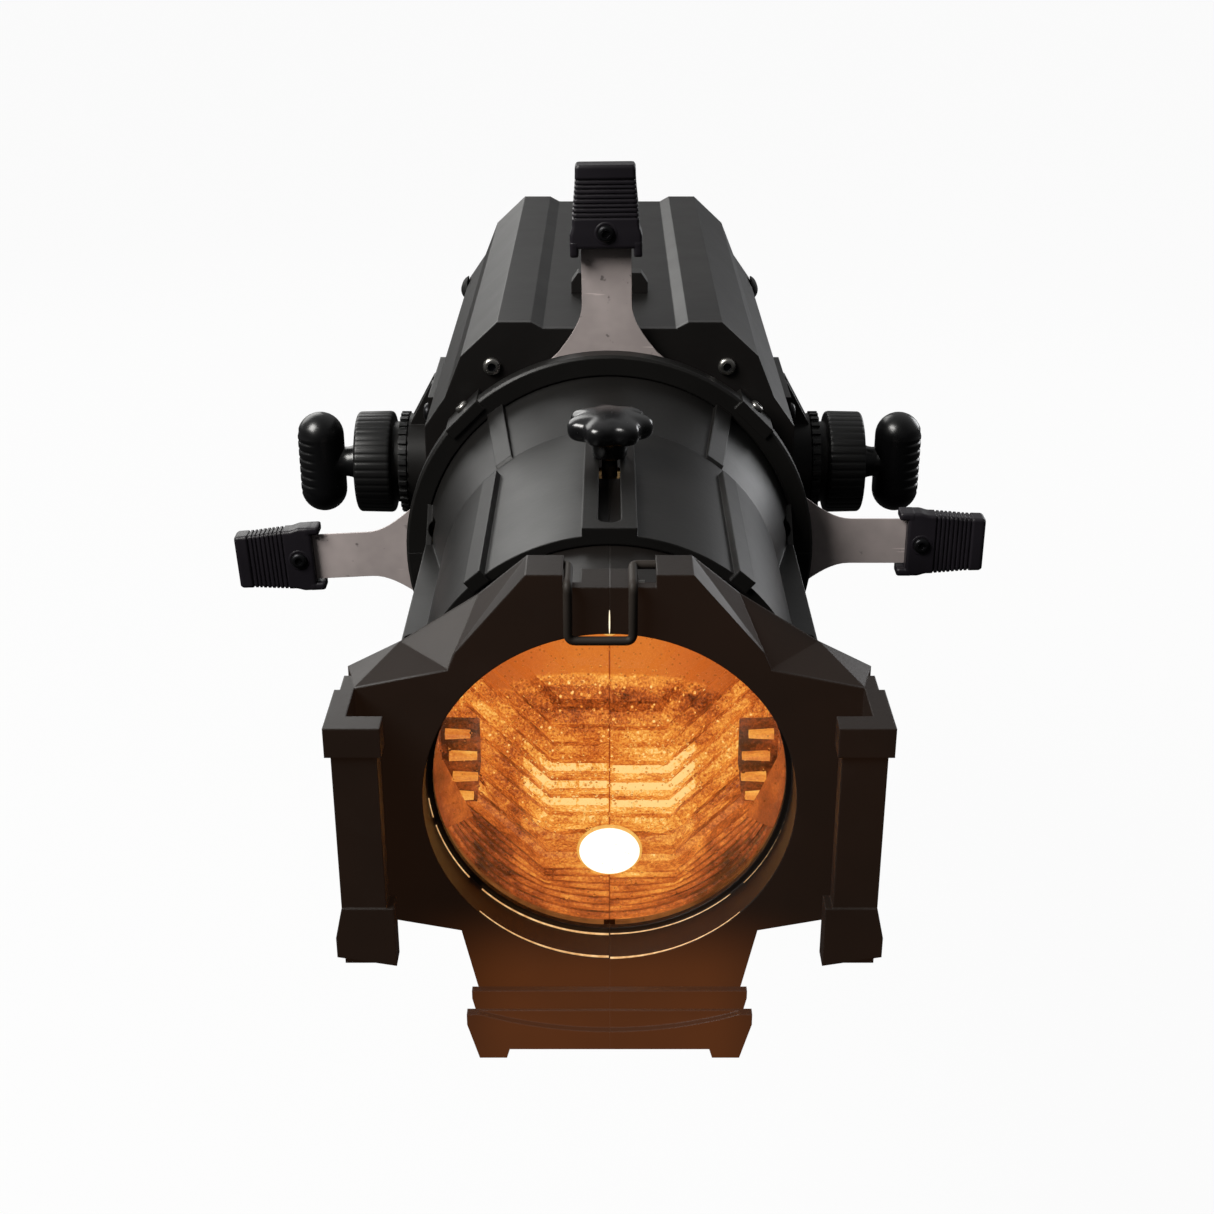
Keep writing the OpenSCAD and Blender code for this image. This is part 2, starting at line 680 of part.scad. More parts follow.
module condenser_holder() color("#23221f") part_frame()
    turn_y() polygon([[40, shell_y0], [52, shell_y0], [52, shell_y0 + 3], [46, shell_y0 + 3],
        [46, led_y + 3], [44, led_y + 3],
                      [44, 243], [40, 243]]);

module driver_box() color("#b5b6b8") part_frame()
    difference() {
        union() {
            translate([-45, 392, -82]) cube([90, 84, 62]);
            for (x = [-22, 18]) translate([x, 396, -92]) cube([4, 76, 11]);
        }
        for (i = [0:9]) translate([-30 + i * 6, 400, -25]) cube([2.5, 60, 10]);
    }

module control_board() color("#1f5a3a") part_frame()
    union() {
        translate([-62, 488, -43]) cube([124, 1.6, 37]);
        translate([-26, 489.6, display_z - 8]) cube([52, 8, 16]);
        for (i = [0:3]) translate([button_x(i), 0, button_z]) rod_y(3, 489.6, 496, 24);
        for (x = [-57, 57], z = [-38, -10]) translate([x, 0, z]) rod_y(2.5, 489, shell_y1, 24);
    }

module display_window() color("#0b1a24") part_frame()
    translate([-27.9, shell_y1 + 0.4, display_z - 8.9]) cube([55.8, panel_t - 0.2, 17.8]);

module menu_button(i) color("#3b3f43") part_frame() translate([button_x(i), 0, button_z]) {
    rod_y(4.75, housing_rear - 5, housing_rear + 2.4, 32);
    rod_y(5.8, housing_rear - 5.4, housing_rear - panel_t - 0.35, 32);
}
module button_menu() menu_button(0);
module button_down() menu_button(1);
module button_up() menu_button(2);
module button_enter() menu_button(3);

// Round chassis socket i: barrel through the panel, flange outside, keyway inside
module chassis_socket(i, depth, pins)
    part_frame() translate([socket_x(i), 0, socket_z])
        difference() {
            union() {
                rod_y(socket_r - 0.1, housing_rear - 22, housing_rear + 1, 48);
                rod_y(15.4, housing_rear, housing_rear + 2.4, 48);
            }
            difference() {
                rod_y(10, housing_rear - depth, housing_rear + 5, 48);
                for (a = [0:360 / pins:359]) rotate([0, a, 0]) translate([0, 0, 5])
                    rod_y(1.2, housing_rear - 22, housing_rear - 2, 20);
            }
        }
module power_inlet() color("#2f63b5") chassis_socket(0, 16, 3);
module power_outlet() color("#9aa0a5") chassis_socket(1, 16, 3);
module data_inlet() color("#202226") chassis_socket(2, 12, 5);
module data_outlet() color("#202226") chassis_socket(3, 9, 5);

module safety_eye() color("#0f0f10") part_frame() {
    eye_y = 300;
    top_z = housing_top_z;
    difference() {
        slab_y(eye_y - 4, eye_y + 4)
            polygon([[-17.5, top_z], [17.5, top_z], [17.5, top_z + 5], [14.5, top_z + 9.5],
                [-14.5, top_z + 9.5], [-17.5, top_z + 5]]);
        translate([0, 0, top_z + 5]) rod_y(3, eye_y - 10, eye_y + 10, 32);
    }
}

// ---------- tilt joint and yoke ----------
module side_bracket() {
    translate([0, pivot_y, 0])
        difference() {
            union() {
                translate([housing_half, -34, -44]) cube([5, 68, 88]);
                rod_x(24, housing_half + 2, hub_x, 64);
                // webs that taper outwards to the hub
                for (y = [-9, 3]) rotate([90, 0, 0]) translate([0, 0, -y - 6])
                    linear_extrude(6) polygon([[housing_half, 43], [86.6, 43], [hub_x, 21],
                        [hub_x, -21], [86.6, -43], [housing_half, -43]]);
            }
            rod_x(stud_bore, housing_half + 2, hub_x + 1, 40);
            for (s = [-1, 1], t = [-1, 1])
                translate([0, s * bracket_screw[0], t * bracket_screw[1]])
                    rod_x(2.6, housing_half - 1, 90, 24);
        }
}
module side_bracket_right() color("#2a2a28") part_frame() side_bracket();
module side_bracket_left() color("#2a2a28") part_frame() mirror([1, 0, 0]) side_bracket();

module bracket_screws() color("#8f8d88") part_frame() both_sides()
    for (s = [-1, 1], t = [-1, 1])
        translate([housing_half + 5, pivot_y + s * bracket_screw[0], t * bracket_screw[1]])
            rotate([0, 90, 0]) screw(2.5, 5, 4.6, 3);

module friction_washers() color("#191919") part_frame() both_sides() translate([0, pivot_y, 0])
    difference() {
        union() {
            rod_x(disc_r - 1.6, washer_x, arm_x, 64);
            for (i = [0:29]) rotate([i * 12, 0, 0]) translate([washer_x, -1.1, disc_r - 3])
                cube([arm_x - washer_x, 2.2, 2.6]);
        }
        rod_x(stud_bore, washer_x - 1, arm_x + 1, 40);
    }

module clamp_discs() color("#161616") part_frame() both_sides() translate([0, pivot_y, 0])
    difference() {
        union() {
            rod_x(disc_r - 0.8, disc_x, disc_x + disc_t, 96);
            for (i = [0:23]) rotate([i * 15, 0, 0]) translate([disc_x, -2.2, disc_r - 3])
                cube([disc_t - 1.5, 4.4, 2.9]);
        }
        rod_x(stud_bore, disc_x - 1, disc_x + disc_t + 1, 40);
    }

// T-grip turned about its own bar, with the stem and steel stud
module tilt_handle() translate([0, pivot_y, 0]) {
    straight = grip_half - grip_r;
    translate([grip_x, 0, 0]) {
        rod_z(grip_r, -straight, straight, 64);
        for (s = [-1, 1]) translate([0, 0, s * straight]) sphere(r = grip_r, $fn = 64);
    }
    rod_x(8.6, disc_x + disc_t + fit + 0.1, grip_x, 48);
    rod_x(stud_r, 86, grip_x, 40);
}
module tilt_handle_right() color("#0c0c0c") part_frame() tilt_handle();
module tilt_handle_left() color("#0c0c0c") part_frame() mirror([1, 0, 0]) tilt_handle();

module soft_box(x, y0, y1, r) {
    translate([-x, y0]) square([2 * x, y1 - r - y0]);
    translate([-x + r, y0]) square([2 * (x - r), y1 - y0]);
    for (s = [-1, 1]) translate([s * (x - r), y1 - r]) circle(r = r, $fn = 48);
}

module yoke_bar() color("#1d1d1c") part_frame() translate([0, pivot_y, 0]) rotate([-yoke_lean, 0, 0])
    difference() {
        union() {
            translate([0, 0, -yoke_w / 2]) linear_extrude(yoke_w) difference() {
                soft_box(arm_x + yoke_t, 0, yoke_reach, 16);
                translate([0, -1]) soft_box(arm_x, 0, yoke_reach - yoke_t + 1, 12);
            }
            both_sides() rod_x(yoke_w / 2, arm_x, arm_x + yoke_t, 64);
        }
        rod_x(stud_bore, -big, big, 40);
        rod_y(clamp_bore_r, yoke_reach - 20, yoke_reach + 5, 48);
    }

yoke_bar();
friction_washers();
clamp_discs();
tilt_handle_left();
tilt_handle_right();
side_bracket_left();
side_bracket_right();
bracket_screws();
safety_eye();
housing_top();
housing_bottom();
front_plate();
rear_panel();
panel_screws();
rear_bumpers();
led_module();
heat_sink();
condenser_lens();
condenser_holder();
driver_box();
control_board();
fan_frame();
fan_rotor();
fan_guard();
display_window();
button_menu();
button_down();
button_up();
button_enter();
power_inlet();
power_outlet();
data_inlet();
data_outlet();
gate_plate();
shutter_spacers();
shutter_separators();
blade_top();
blade_right();
blade_bottom();
blade_left();
blade_handle_top();
blade_handle_right();
blade_handle_bottom();
blade_handle_left();
handle_screw_top();
handle_screw_right();
handle_screw_bottom();
handle_screw_left();
barrel_top();
barrel_bottom();
barrel_screws();
lens_tube_left();
lens_tube_right();
tube_screws();
front_lens();
rear_lens();
lens_rings();
focus_knob();
focus_nut();
frame_clip();
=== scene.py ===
import json
import math

import bmesh
import bpy
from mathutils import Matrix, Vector

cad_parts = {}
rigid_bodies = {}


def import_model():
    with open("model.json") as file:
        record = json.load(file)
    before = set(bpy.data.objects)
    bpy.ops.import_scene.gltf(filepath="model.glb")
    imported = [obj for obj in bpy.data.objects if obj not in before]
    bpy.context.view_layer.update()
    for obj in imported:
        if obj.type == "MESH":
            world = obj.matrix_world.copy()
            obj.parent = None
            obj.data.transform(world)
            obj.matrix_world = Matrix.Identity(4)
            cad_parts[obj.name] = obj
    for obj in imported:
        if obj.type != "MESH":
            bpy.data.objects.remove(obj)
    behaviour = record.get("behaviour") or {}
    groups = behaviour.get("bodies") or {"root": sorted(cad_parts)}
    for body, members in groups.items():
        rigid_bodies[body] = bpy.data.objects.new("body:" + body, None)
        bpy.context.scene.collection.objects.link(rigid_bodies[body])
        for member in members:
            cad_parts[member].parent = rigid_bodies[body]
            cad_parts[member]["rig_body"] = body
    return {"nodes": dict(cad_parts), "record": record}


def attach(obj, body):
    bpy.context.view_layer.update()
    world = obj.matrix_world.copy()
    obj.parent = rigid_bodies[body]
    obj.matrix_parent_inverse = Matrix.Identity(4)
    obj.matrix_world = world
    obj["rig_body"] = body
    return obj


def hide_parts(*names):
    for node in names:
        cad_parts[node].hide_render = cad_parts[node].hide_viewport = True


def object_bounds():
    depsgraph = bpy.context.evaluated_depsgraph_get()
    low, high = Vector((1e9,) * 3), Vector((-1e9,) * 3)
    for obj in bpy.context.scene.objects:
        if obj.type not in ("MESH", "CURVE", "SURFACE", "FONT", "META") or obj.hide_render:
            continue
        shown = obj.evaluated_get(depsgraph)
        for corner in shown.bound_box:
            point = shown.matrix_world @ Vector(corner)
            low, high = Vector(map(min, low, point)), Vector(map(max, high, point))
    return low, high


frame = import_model()
NODES = frame["nodes"]
cad_low, cad_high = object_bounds()

MM = 0.001
# The optical frame: origin on the optical axis at the front of the accessory holder, +Y towards the rear
AXIS_Y, AXIS_Z = -0.559526, 0.082085
# The tilt axis and the middle of the focus knob, in millimetres from the holder's front
PIVOT_Y, KNOB_Y = 334.0, 133.0
# The angle of each shutter round the optical axis, in degrees from the top
SHUTTERS = (("top", -0.6), ("right", 90.0), ("bottom", 180.0), ("left", -93.0))


def P(x, y, z):
    """A point given in millimetres in the optical frame, in the row frame in metres."""
    return Vector((x * MM, y * MM + AXIS_Y, z * MM + AXIS_Z))


# ---------- node helpers for materials ----------
class Mat:
    """A material with a Principled shader and short calls to add nodes."""

    def __init__(self, name):
        self.m = bpy.data.materials.new(name)
        self.m.use_nodes = True
        self.t = self.m.node_tree
        self.b = self.t.nodes["Principled BSDF"]
        self.out = self.t.nodes["Material Output"]
        self.coords = None

    def node(self, kind, ins=None, **props):
        n = self.t.nodes.new("ShaderNode" + kind)
        for k, v in props.items():
            setattr(n, k, v)
        for k, v in (ins or {}).items():
            self.put(n.inputs[k], v)
        return n

    def put(self, socket, v):
        if isinstance(v, bpy.types.NodeSocket):
            self.t.links.new(v, socket)
        else:
            socket.default_value = v

    def set(self, **ins):
        for k, v in ins.items():
            self.put(self.b.inputs[k.replace("_", " ")], v)
        return self

    def obj(self):
        if self.coords is None:
            self.coords = self.node("TexCoord").outputs["Object"]
        return self.coords

    def noise(self, scale, detail=2.0, rough=0.5, stretch=None):
        v = self.obj()
        if stretch:
            v = self.node("Mapping", {"Vector": v, "Scale": stretch}).outputs["Vector"]
        n = self.node("TexNoise", {"Vector": v, "Scale": scale, "Detail": detail, "Roughness": rough})
        return n.outputs["Fac"]

    def math(self, op, a, b=0.0, c=0.0, clamp=False):
        n = self.node("Math", operation=op, use_clamp=clamp)
        for i, v in enumerate((a, b, c)):
            self.put(n.inputs[i], v)
        return n.outputs[0]

    def mul(self, a, b):
        return self.math("MULTIPLY", a, b)

    def add(self, a, b):
        return self.math("ADD", a, b)

    def sub(self, a, b):
        return self.math("SUBTRACT", a, b)

    def away(self, v, centre):
        """How far v is from centre."""
        return self.math("ABSOLUTE", self.sub(v, centre))

    def cells(self, scale, randomness=1.0):
        """Distance to the nearest of scattered points."""
        return self.node("TexVoronoi", {"Vector": self.obj(), "Scale": scale, "Randomness": randomness},
                         feature="F1").outputs["Distance"]

    def soft_edges(self, round_mm):
        """The normal with the edges rounded."""
        return self.node("Bevel", {"Radius": round_mm * MM}, samples=4).outputs["Normal"]

    def span(self, v, a, b, lo=0.0, hi=1.0, smooth=True):
        """v from a..b mapped to lo..hi and held there."""
        n = self.node("MapRange", {"Value": v, "From Min": a, "From Max": b, "To Min": lo, "To Max": hi},
                      interpolation_type="SMOOTHSTEP" if smooth else "LINEAR")
        return n.outputs["Result"]

    def mix(self, f, a, b):
        n = self.node("Mix", data_type="RGBA")
        self.put(n.inputs["Factor"], f)
        self.put(n.inputs[6], rgb(a) if isinstance(a, (tuple, list)) else a)
        self.put(n.inputs[7], rgb(b) if isinstance(b, (tuple, list)) else b)
        return n.outputs[2]

    def bump(self, height, strength, dist, normal=None):
        ins = {"Height": height, "Strength": strength, "Distance": dist}
        if normal is not None:
            ins["Normal"] = normal
        return self.node("Bump", ins).outputs["Normal"]

    def xyz(self):
        s = self.node("SeparateXYZ", {"Vector": self.obj()})
        return s.outputs[0], s.outputs[1], s.outputs[2]


DUST = 0.08        # the most that dust lightens a coat
IN_BORE = 0.12     # the share of the brown light that reaches the bore


def rgb(c):
    return (c[0], c[1], c[2], 1.0)


def srgb(r, g, b):
    """Linear colour from 8-bit sRGB values."""
    def f(v):
        v /= 255.0
        return v / 12.92 if v <= 0.04045 else ((v + 0.055) / 1.055) ** 2.4
    return (f(r), f(g), f(b))


def coat(name, col, rough=0.45, grain=0.25, edge=0.5, spec=0.35, spill_light=0.0):
    """Satin powder coat: fine orange-peel grain, cloudy tone, lighter edges (partly rubbed wear, partly a
    painted highlight) and some dust.
    """
    k = Mat(name)
    fine = k.noise(1500, 2, 0.6)
    peel = k.noise(420, 3, 0.55)
    cloud = k.noise(16, 3, 0.6)
    smear = k.noise(60, 4, 0.65, stretch=(1.0, 0.25, 1.0))
    height = k.add(k.mul(fine, 0.45), peel)
    soft = k.soft_edges(0.7)
    flat = k.node("NewGeometry").outputs["Normal"]
    lean = k.node("VectorMath", {0: soft, 1: flat}, operation="DOT_PRODUCT").outputs["Value"]
    # edges lighter: partly rubbed wear, partly a painted highlight along them
    edge_wear_and_highlight = k.span(k.sub(1.0, lean), 0.01, 0.12, 0.0, edge)
    edge_wear_and_highlight = k.mul(edge_wear_and_highlight, k.span(k.noise(230, 4, 0.7), 0.35, 0.65, 0.45, 1.0))
    dust = k.mul(k.span(smear, 0.55, 0.8), DUST)
    tone = k.mix(k.span(cloud, 0.3, 0.7), [c * 0.9 for c in col], [c * 1.12 for c in col])
    tone = k.mix(dust, tone, [min(1, c * 2.0 + 0.012) for c in col])
    tone = k.mix(edge_wear_and_highlight, tone, [min(1, c * 2.6 + 0.02) for c in col])
    k.set(Base_Color=tone, Specular_IOR_Level=spec)
    k.set(Roughness=k.span(k.noise(30, 3, 0.6), 0.25, 0.75, rough - 0.02, rough + 0.03))
    k.set(Normal=k.bump(height, grain, 0.00012, soft))
    # painted light: the brown glow spilled from the opening onto the front of the holder
    if spill_light:
        spill(k, cloud, spill_light)
    return k.m


def spill(k, cloud, amount):
    """Light scattered on the front of the holder: brown below the opening, fading upwards and sideways."""
    x, y, z = k.xyz()
    z = k.sub(z, AXIS_Z)
    low = k.mul(k.span(z, -0.036, -0.070), k.span(k.away(x, 0.0), 0.075, 0.030))
    front = k.span(y, AXIS_Y + 0.022, AXIS_Y + 0.012)
    radius = k.math("SQRT", k.add(k.mul(x, x), k.mul(z, z)))
    front = k.mul(front, k.span(radius, 0.0606, 0.0614, IN_BORE, 1.0))
    facing = k.node("SeparateXYZ", {"Vector": k.node("TexCoord").outputs["Normal"]}).outputs["Y"]
    front = k.mul(front, k.span(facing, 0.5, -0.3))
    tone = k.mix(low, (0.0085, 0.0042, 0.0024), (0.088, 0.025, 0.0066))
    tone = k.mix(k.span(cloud, 0.3, 0.7, 0.0, 0.18), tone, (0.02, 0.007, 0.003))
    k.set(Emission_Color=tone, Emission_Strength=k.mul(front, amount))


def plastic(name, col, rough=0.22, spec=0.5, grain=0.06):
    """Moulded plastic: nearly smooth, faint flow marks and fine handling scratches in its gloss."""
    k = Mat(name)
    flow = k.noise(28, 2, 0.5, stretch=(1.0, 0.35, 1.0))
    scratch = k.noise(900, 3, 0.7, stretch=(1.0, 0.08, 0.6))
    soft = k.soft_edges(0.5)
    tone = k.mix(k.span(flow, 0.3, 0.7), [c * 0.85 for c in col], [c * 1.2 for c in col])
    gloss = k.add(k.span(flow, 0.2, 0.8, rough - 0.03, rough + 0.04), k.span(scratch, 0.6, 0.8, 0.0, 0.10))
    k.set(Base_Color=tone, Roughness=gloss, Specular_IOR_Level=spec)
    k.set(Normal=k.bump(k.noise(700, 2, 0.5), grain, 0.00008, soft))
    return k.m


def steel(name, col, rough=0.34, marks=0.5, metal=0.75):
    """Sheet or turned steel: drawn lines, random dark marks and a few long bright scratches."""
    k = Mat(name)
    lines = k.noise(1400, 3, 0.6, stretch=(0.06, 1.0, 1.0))
    cloud = k.noise(22, 4, 0.6)
    spots = k.noise(190, 2, 0.7)
    scratch = k.noise(300, 2, 0.4, stretch=(0.12, 1.0, 1.6))
    tone = k.mix(k.span(cloud, 0.3, 0.7), [c * 0.8 for c in col], [min(1, c * 1.15) for c in col])
    tone = k.mix(k.mul(k.span(spots, 0.66, 0.74), marks), tone, [c * 0.25 for c in col])
    tone = k.mix(k.mul(k.span(scratch, 0.69, 0.72), 0.6), tone, [min(1, c * 1.7) for c in col])
    soft = k.soft_edges(0.25)
    k.set(Base_Color=tone, Metallic=metal, Specular_IOR_Level=0.4)
    k.set(Roughness=k.span(lines, 0.2, 0.8, rough - 0.08, rough + 0.12))
    k.set(Normal=k.bump(lines, 0.12, 0.00005, soft))
    return k.m


def rubber(name, col):
    """Dull moulded rubber with a pale bloom in patches."""
    k = Mat(name)
    soft = k.soft_edges(0.8)
    bloom = k.span(k.noise(90, 4, 0.7), 0.35, 0.7)
    k.set(Base_Color=k.mix(bloom, [c * 0.8 for c in col], [c * 1.5 + 0.004 for c in col]))
    k.set(Roughness=k.span(k.noise(40, 2), 0.3, 0.7, 0.62, 0.8), Specular_IOR_Level=0.3)
    k.set(Normal=k.bump(k.noise(1200, 3, 0.7), 0.35, 0.0001, soft))
    return k.m


def board(name):
    """Circuit board: green lacquer with lighter copper tracks under it and bright pads."""
    k = Mat(name)
    tracks = k.node("TexBrick", {"Vector": k.obj(), "Scale": 240.0,
                                 "Mortar Size": 0.06, "Mortar Smooth": 0.1,
                                 "Color1": rgb((0.012, 0.10, 0.045)), "Color2": rgb((0.016, 0.12, 0.05)),
                                 "Mortar": rgb((0.05, 0.24, 0.10))})
    pads = k.cells(420.0)
    k.set(Base_Color=k.mix(k.span(pads, 0.14, 0.10), tracks.outputs["Color"], (0.75, 0.68, 0.45)))
    k.set(Roughness=k.span(k.noise(80, 2), 0.3, 0.7, 0.22, 0.36))
    k.set(Normal=k.bump(tracks.outputs["Fac"], 0.3, 0.0001))
    return k.m


def phosphor(name):
    """Light-engine emitter: a grid of small yellow dies under clear gel."""
    k = Mat(name)
    hot = k.span(k.cells(260.0, 0.05), 0.5, 0.2)
    k.set(Base_Color=k.mix(hot, (0.75, 0.7, 0.55), (0.95, 0.75, 0.2)))
    k.set(Roughness=k.span(k.noise(200, 2), 0.3, 0.7, 0.2, 0.4))
    k.set(Emission_Color=k.mix(hot, (1.0, 0.62, 0.28), (1.0, 0.85, 0.5)), Emission_Strength=6.0)
    return k.m


def clear_glass(name, tint):
    """Pressed glass with seeds and fine dust; it bends light only a little, so that the inside reads."""
    k = Mat(name)
    seeds = k.cells(330.0)
    dust = k.noise(2200, 2, 0.7)
    k.set(Base_Color=k.mix(k.span(seeds, 0.16, 0.08), tint, [c * 0.6 for c in tint]))
    k.set(Roughness=k.span(dust, 0.55, 0.8, 0.0, 0.05))
    k.set(Transmission_Weight=1.0, IOR=1.06, Specular_IOR_Level=0.5)
    k.set(Normal=k.bump(k.span(seeds, 0.22, 0.0), 0.5, 0.0006))
    return k.m


POWDER = coat("powder_black", srgb(19, 18, 17), rough=0.40, spec=0.24)
PANEL = coat("panel_black", srgb(20, 18, 17), rough=0.42, edge=0.35)
# this coat also carries the painted brown light spilled on the holder front
TUBE = coat("tube_black", srgb(20, 17, 15), rough=0.42, spec=0.24, spill_light=1.0)
CLAMP = coat("clamp_black", srgb(16, 16, 16), rough=0.40, grain=0.15, edge=0.35)
GRIP = plastic("grip_black", srgb(8, 8, 9), rough=0.27, spec=0.5)
HANDLE = plastic("handle_black", srgb(27, 24, 29), rough=0.42, spec=0.35, grain=0.2)
BLADE = steel("blade_steel", srgb(176, 165, 163), rough=0.5, marks=0.75, metal=0.1)
SCREW = steel("screw_steel", srgb(150, 148, 144), rough=0.26, marks=0.3, metal=0.95)
SCREW_DARK = steel("screw_black", srgb(34, 34, 36), rough=0.32, marks=0.3, metal=0.8)
RUBBER = rubber("rubber", srgb(16, 16, 16))
KNOB = plastic("knob_black", srgb(14, 14, 15), rough=0.24, spec=0.6)
# the clip's wire is black; its colour is lifted to the brown of the spilled light round it, a painted light
WIRE_SPILL_LIT = plastic("wire_spill_lit", srgb(40, 35, 31), rough=0.55, spec=0.2)
ALU = steel("aluminium", srgb(168, 170, 172), rough=0.38, marks=0.15, metal=0.95)
BRASS = steel("brass", srgb(176, 142, 78), rough=0.3, marks=0.3, metal=1.0)
BOARD = board("board_green")
LED = phosphor("led")
BUTTON = plastic("button_grey", srgb(62, 66, 70), rough=0.4, spec=0.4)
INLET = plastic("inlet_blue", srgb(34, 82, 168), rough=0.35)
OUTLET = plastic("outlet_grey", srgb(150, 154, 158), rough=0.35)
SOCKET = plastic("socket_black", srgb(22, 22, 24), rough=0.35)
GLASS = clear_glass("lens_glass", (1.0, 0.93, 0.82))


def display_glass():
    """Dark window with a lit grid of plain bars behind it."""
    k = Mat("display")
    upright = k.node("Mapping", {"Vector": k.obj(), "Rotation": (math.pi / 2, 0, 0)}).outputs[0]
    bars = k.node("TexBrick", {"Vector": upright, "Scale": 90.0, "Mortar Size": 0.09,
                               "Color1": rgb((0, 0, 0)), "Color2": rgb((1, 1, 1)),
                               "Mortar": rgb((0, 0, 0))}, offset=0.0).outputs["Color"]
    k.set(Base_Color=k.mix(k.span(k.noise(60, 3), 0.3, 0.7), (0.004, 0.010, 0.018), (0.008, 0.018, 0.03)))
    k.set(Roughness=k.span(k.noise(300, 4, 0.7), 0.4, 0.8, 0.04, 0.12), Coat_Weight=0.5)
    k.set(Emission_Color=k.mix(bars, (0.0, 0.01, 0.02), (0.10, 0.45, 0.75)), Emission_Strength=0.5)
    return k.m


DISPLAY = display_glass()

SLOTS = {
    "powder_black": POWDER, "panel_black": PANEL, "tube_black": TUBE, "clamp_black": CLAMP,
    "grip_black": GRIP, "handle_black": HANDLE, "blade_steel": BLADE, "screw_steel": SCREW,
    "screw_black": SCREW_DARK, "rubber": RUBBER, "aluminium": ALU, "brass": BRASS,
    "board_green": BOARD, "led": LED, "button_grey": BUTTON, "inlet_blue": INLET,
    "outlet_grey": OUTLET, "socket_black": SOCKET, "lens_glass": GLASS, "display": DISPLAY,
}
SLOT_OF = {s["node"]: s["material_slot"] for s in frame["record"]["subparts"]}
for name, node in NODES.items():
    node.data.materials.clear()
    node.data.materials.append(SLOTS[SLOT_OF[name]])


# ---------- mesh helpers; points are in millimetres in the optical frame ----------
def add_mesh(name, verts, faces, mats, body, replaces=(),
             face_mat=None, smooth=True, sharp=None):
    """A new piece on a body; sharp is the angle in degrees above which its edges stay sharp."""
    me = bpy.data.meshes.new(name)
    me.from_pydata([P(*v) for v in verts], [], faces)
    for m in mats if isinstance(mats, (list, tuple)) else [mats]:
        me.materials.append(m)
    if face_mat:
        for f, k in zip(me.polygons, face_mat):
            f.material_index = k
    bm = bmesh.new()
    bm.from_mesh(me)
    bmesh.ops.recalc_face_normals(bm, faces=bm.faces)
    bm.to_mesh(me)
    bm.free()
    me.update()
    if smooth:
        me.shade_smooth()
        if sharp:
            me.set_sharp_from_angle(angle=math.radians(sharp))
    o = bpy.data.objects.new(name, me)
    bpy.context.scene.collection.objects.link(o)
    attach(o, body)
    if replaces:
        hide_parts(*replaces)
    return o


def merge(parts):
    """Several (verts, faces) as one."""
    verts, faces = [], []
    for v, f in parts:
        n = len(verts)
        verts += v
        faces += [tuple(i + n for i in q) for q in f]
    return verts, faces


def loft(rings, close=True, caps=True):
    """Quads between rings of the same length; close joins each ring's ends."""
    n = len(rings[0])
    verts = [p for r in rings for p in r]
    faces = []
    for i in range(len(rings) - 1):
        for j in range(n if close else n - 1):
            k = (j + 1) % n
            faces.append((i * n + j, i * n + k, (i + 1) * n + k, (i + 1) * n + j))
    if caps:
        faces.append(tuple(range(n)))
        faces.append(tuple((len(rings) - 1) * n + j for j in range(n - 1, -1, -1)))
    return verts, faces


def tube(path, radius, n=12):
    """A round bar along a path; radius is a number or a list."""
    pts = [Vector(p) for p in path]
    rings = []
    side = None
    for i, p in enumerate(pts):
        d = (pts[min(i + 1, len(pts) - 1)] - pts[max(i - 1, 0)]).normalized()
        if side is None:
            side = d.orthogonal().normalized()
        side = (side - d * side.dot(d)).normalized()
        up = d.cross(side)
        r = radius[i] if isinstance(radius, (list, tuple)) else radius
        rings.append([tuple(p + (side * math.cos(a) + up * math.sin(a)) * r)
                      for a in (2 * math.pi * j / n for j in range(n))])
    return loft(rings)


def fillet(path, r, n=6):
    """The path with its corners rounded to about r."""
    pts = [Vector(p) for p in path]
    out = [pts[0]]
    for a, b, c in zip(pts, pts[1:], pts[2:]):
        s, e = b + (a - b).normalized() * r, b + (c - b).normalized() * r
        for i in range(n + 1):
            t = i / n
            out.append(s.lerp(b, t).lerp(b.lerp(e, t), t))
    out.append(pts[-1])
    return [tuple(p) for p in out]


def lathe_x(profile, y0, z0, n=96, wave=None, sign=1):
    """Turns (x, r) pairs about a line along X; wave(angle, x, r) changes r."""
    rings = []
    for x, r in profile:
        ring = []
        for j in range(n):
            a = 2 * math.pi * j / n
            q = wave(a, x, r) if wave else r
            ring.append((sign * x, y0 + q * math.cos(a), z0 + q * math.sin(a)))
        rings.append(ring)
    return loft(rings)


def lathe_axis(profile, at, axis, n=40, shape=None):
    """Turns (t, r) pairs about the line from at along axis; shape(angle, t, r) changes r."""
    d = Vector(axis).normalized()
    side = d.orthogonal().normalized()
    up = d.cross(side)
    rings = []
    for t, r in profile:
        ring = []
        for j in range(n):
            a = 2 * math.pi * j / n
            q = shape(a, t, r) if shape else r
            ring.append(tuple(Vector(at) + d * t + (side * math.cos(a) + up * math.sin(a)) * q))
        rings.append(ring)
    return loft(rings)


def step(v, a, b):
    """0 at a, 1 at b and beyond, smooth between."""
    t = min(1.0, max(0.0, (v - a) / (b - a)))
    return t * t * (3 - 2 * t)


JOINT_GAP = 0.00007     # half the gap between two castings, which a copy closes


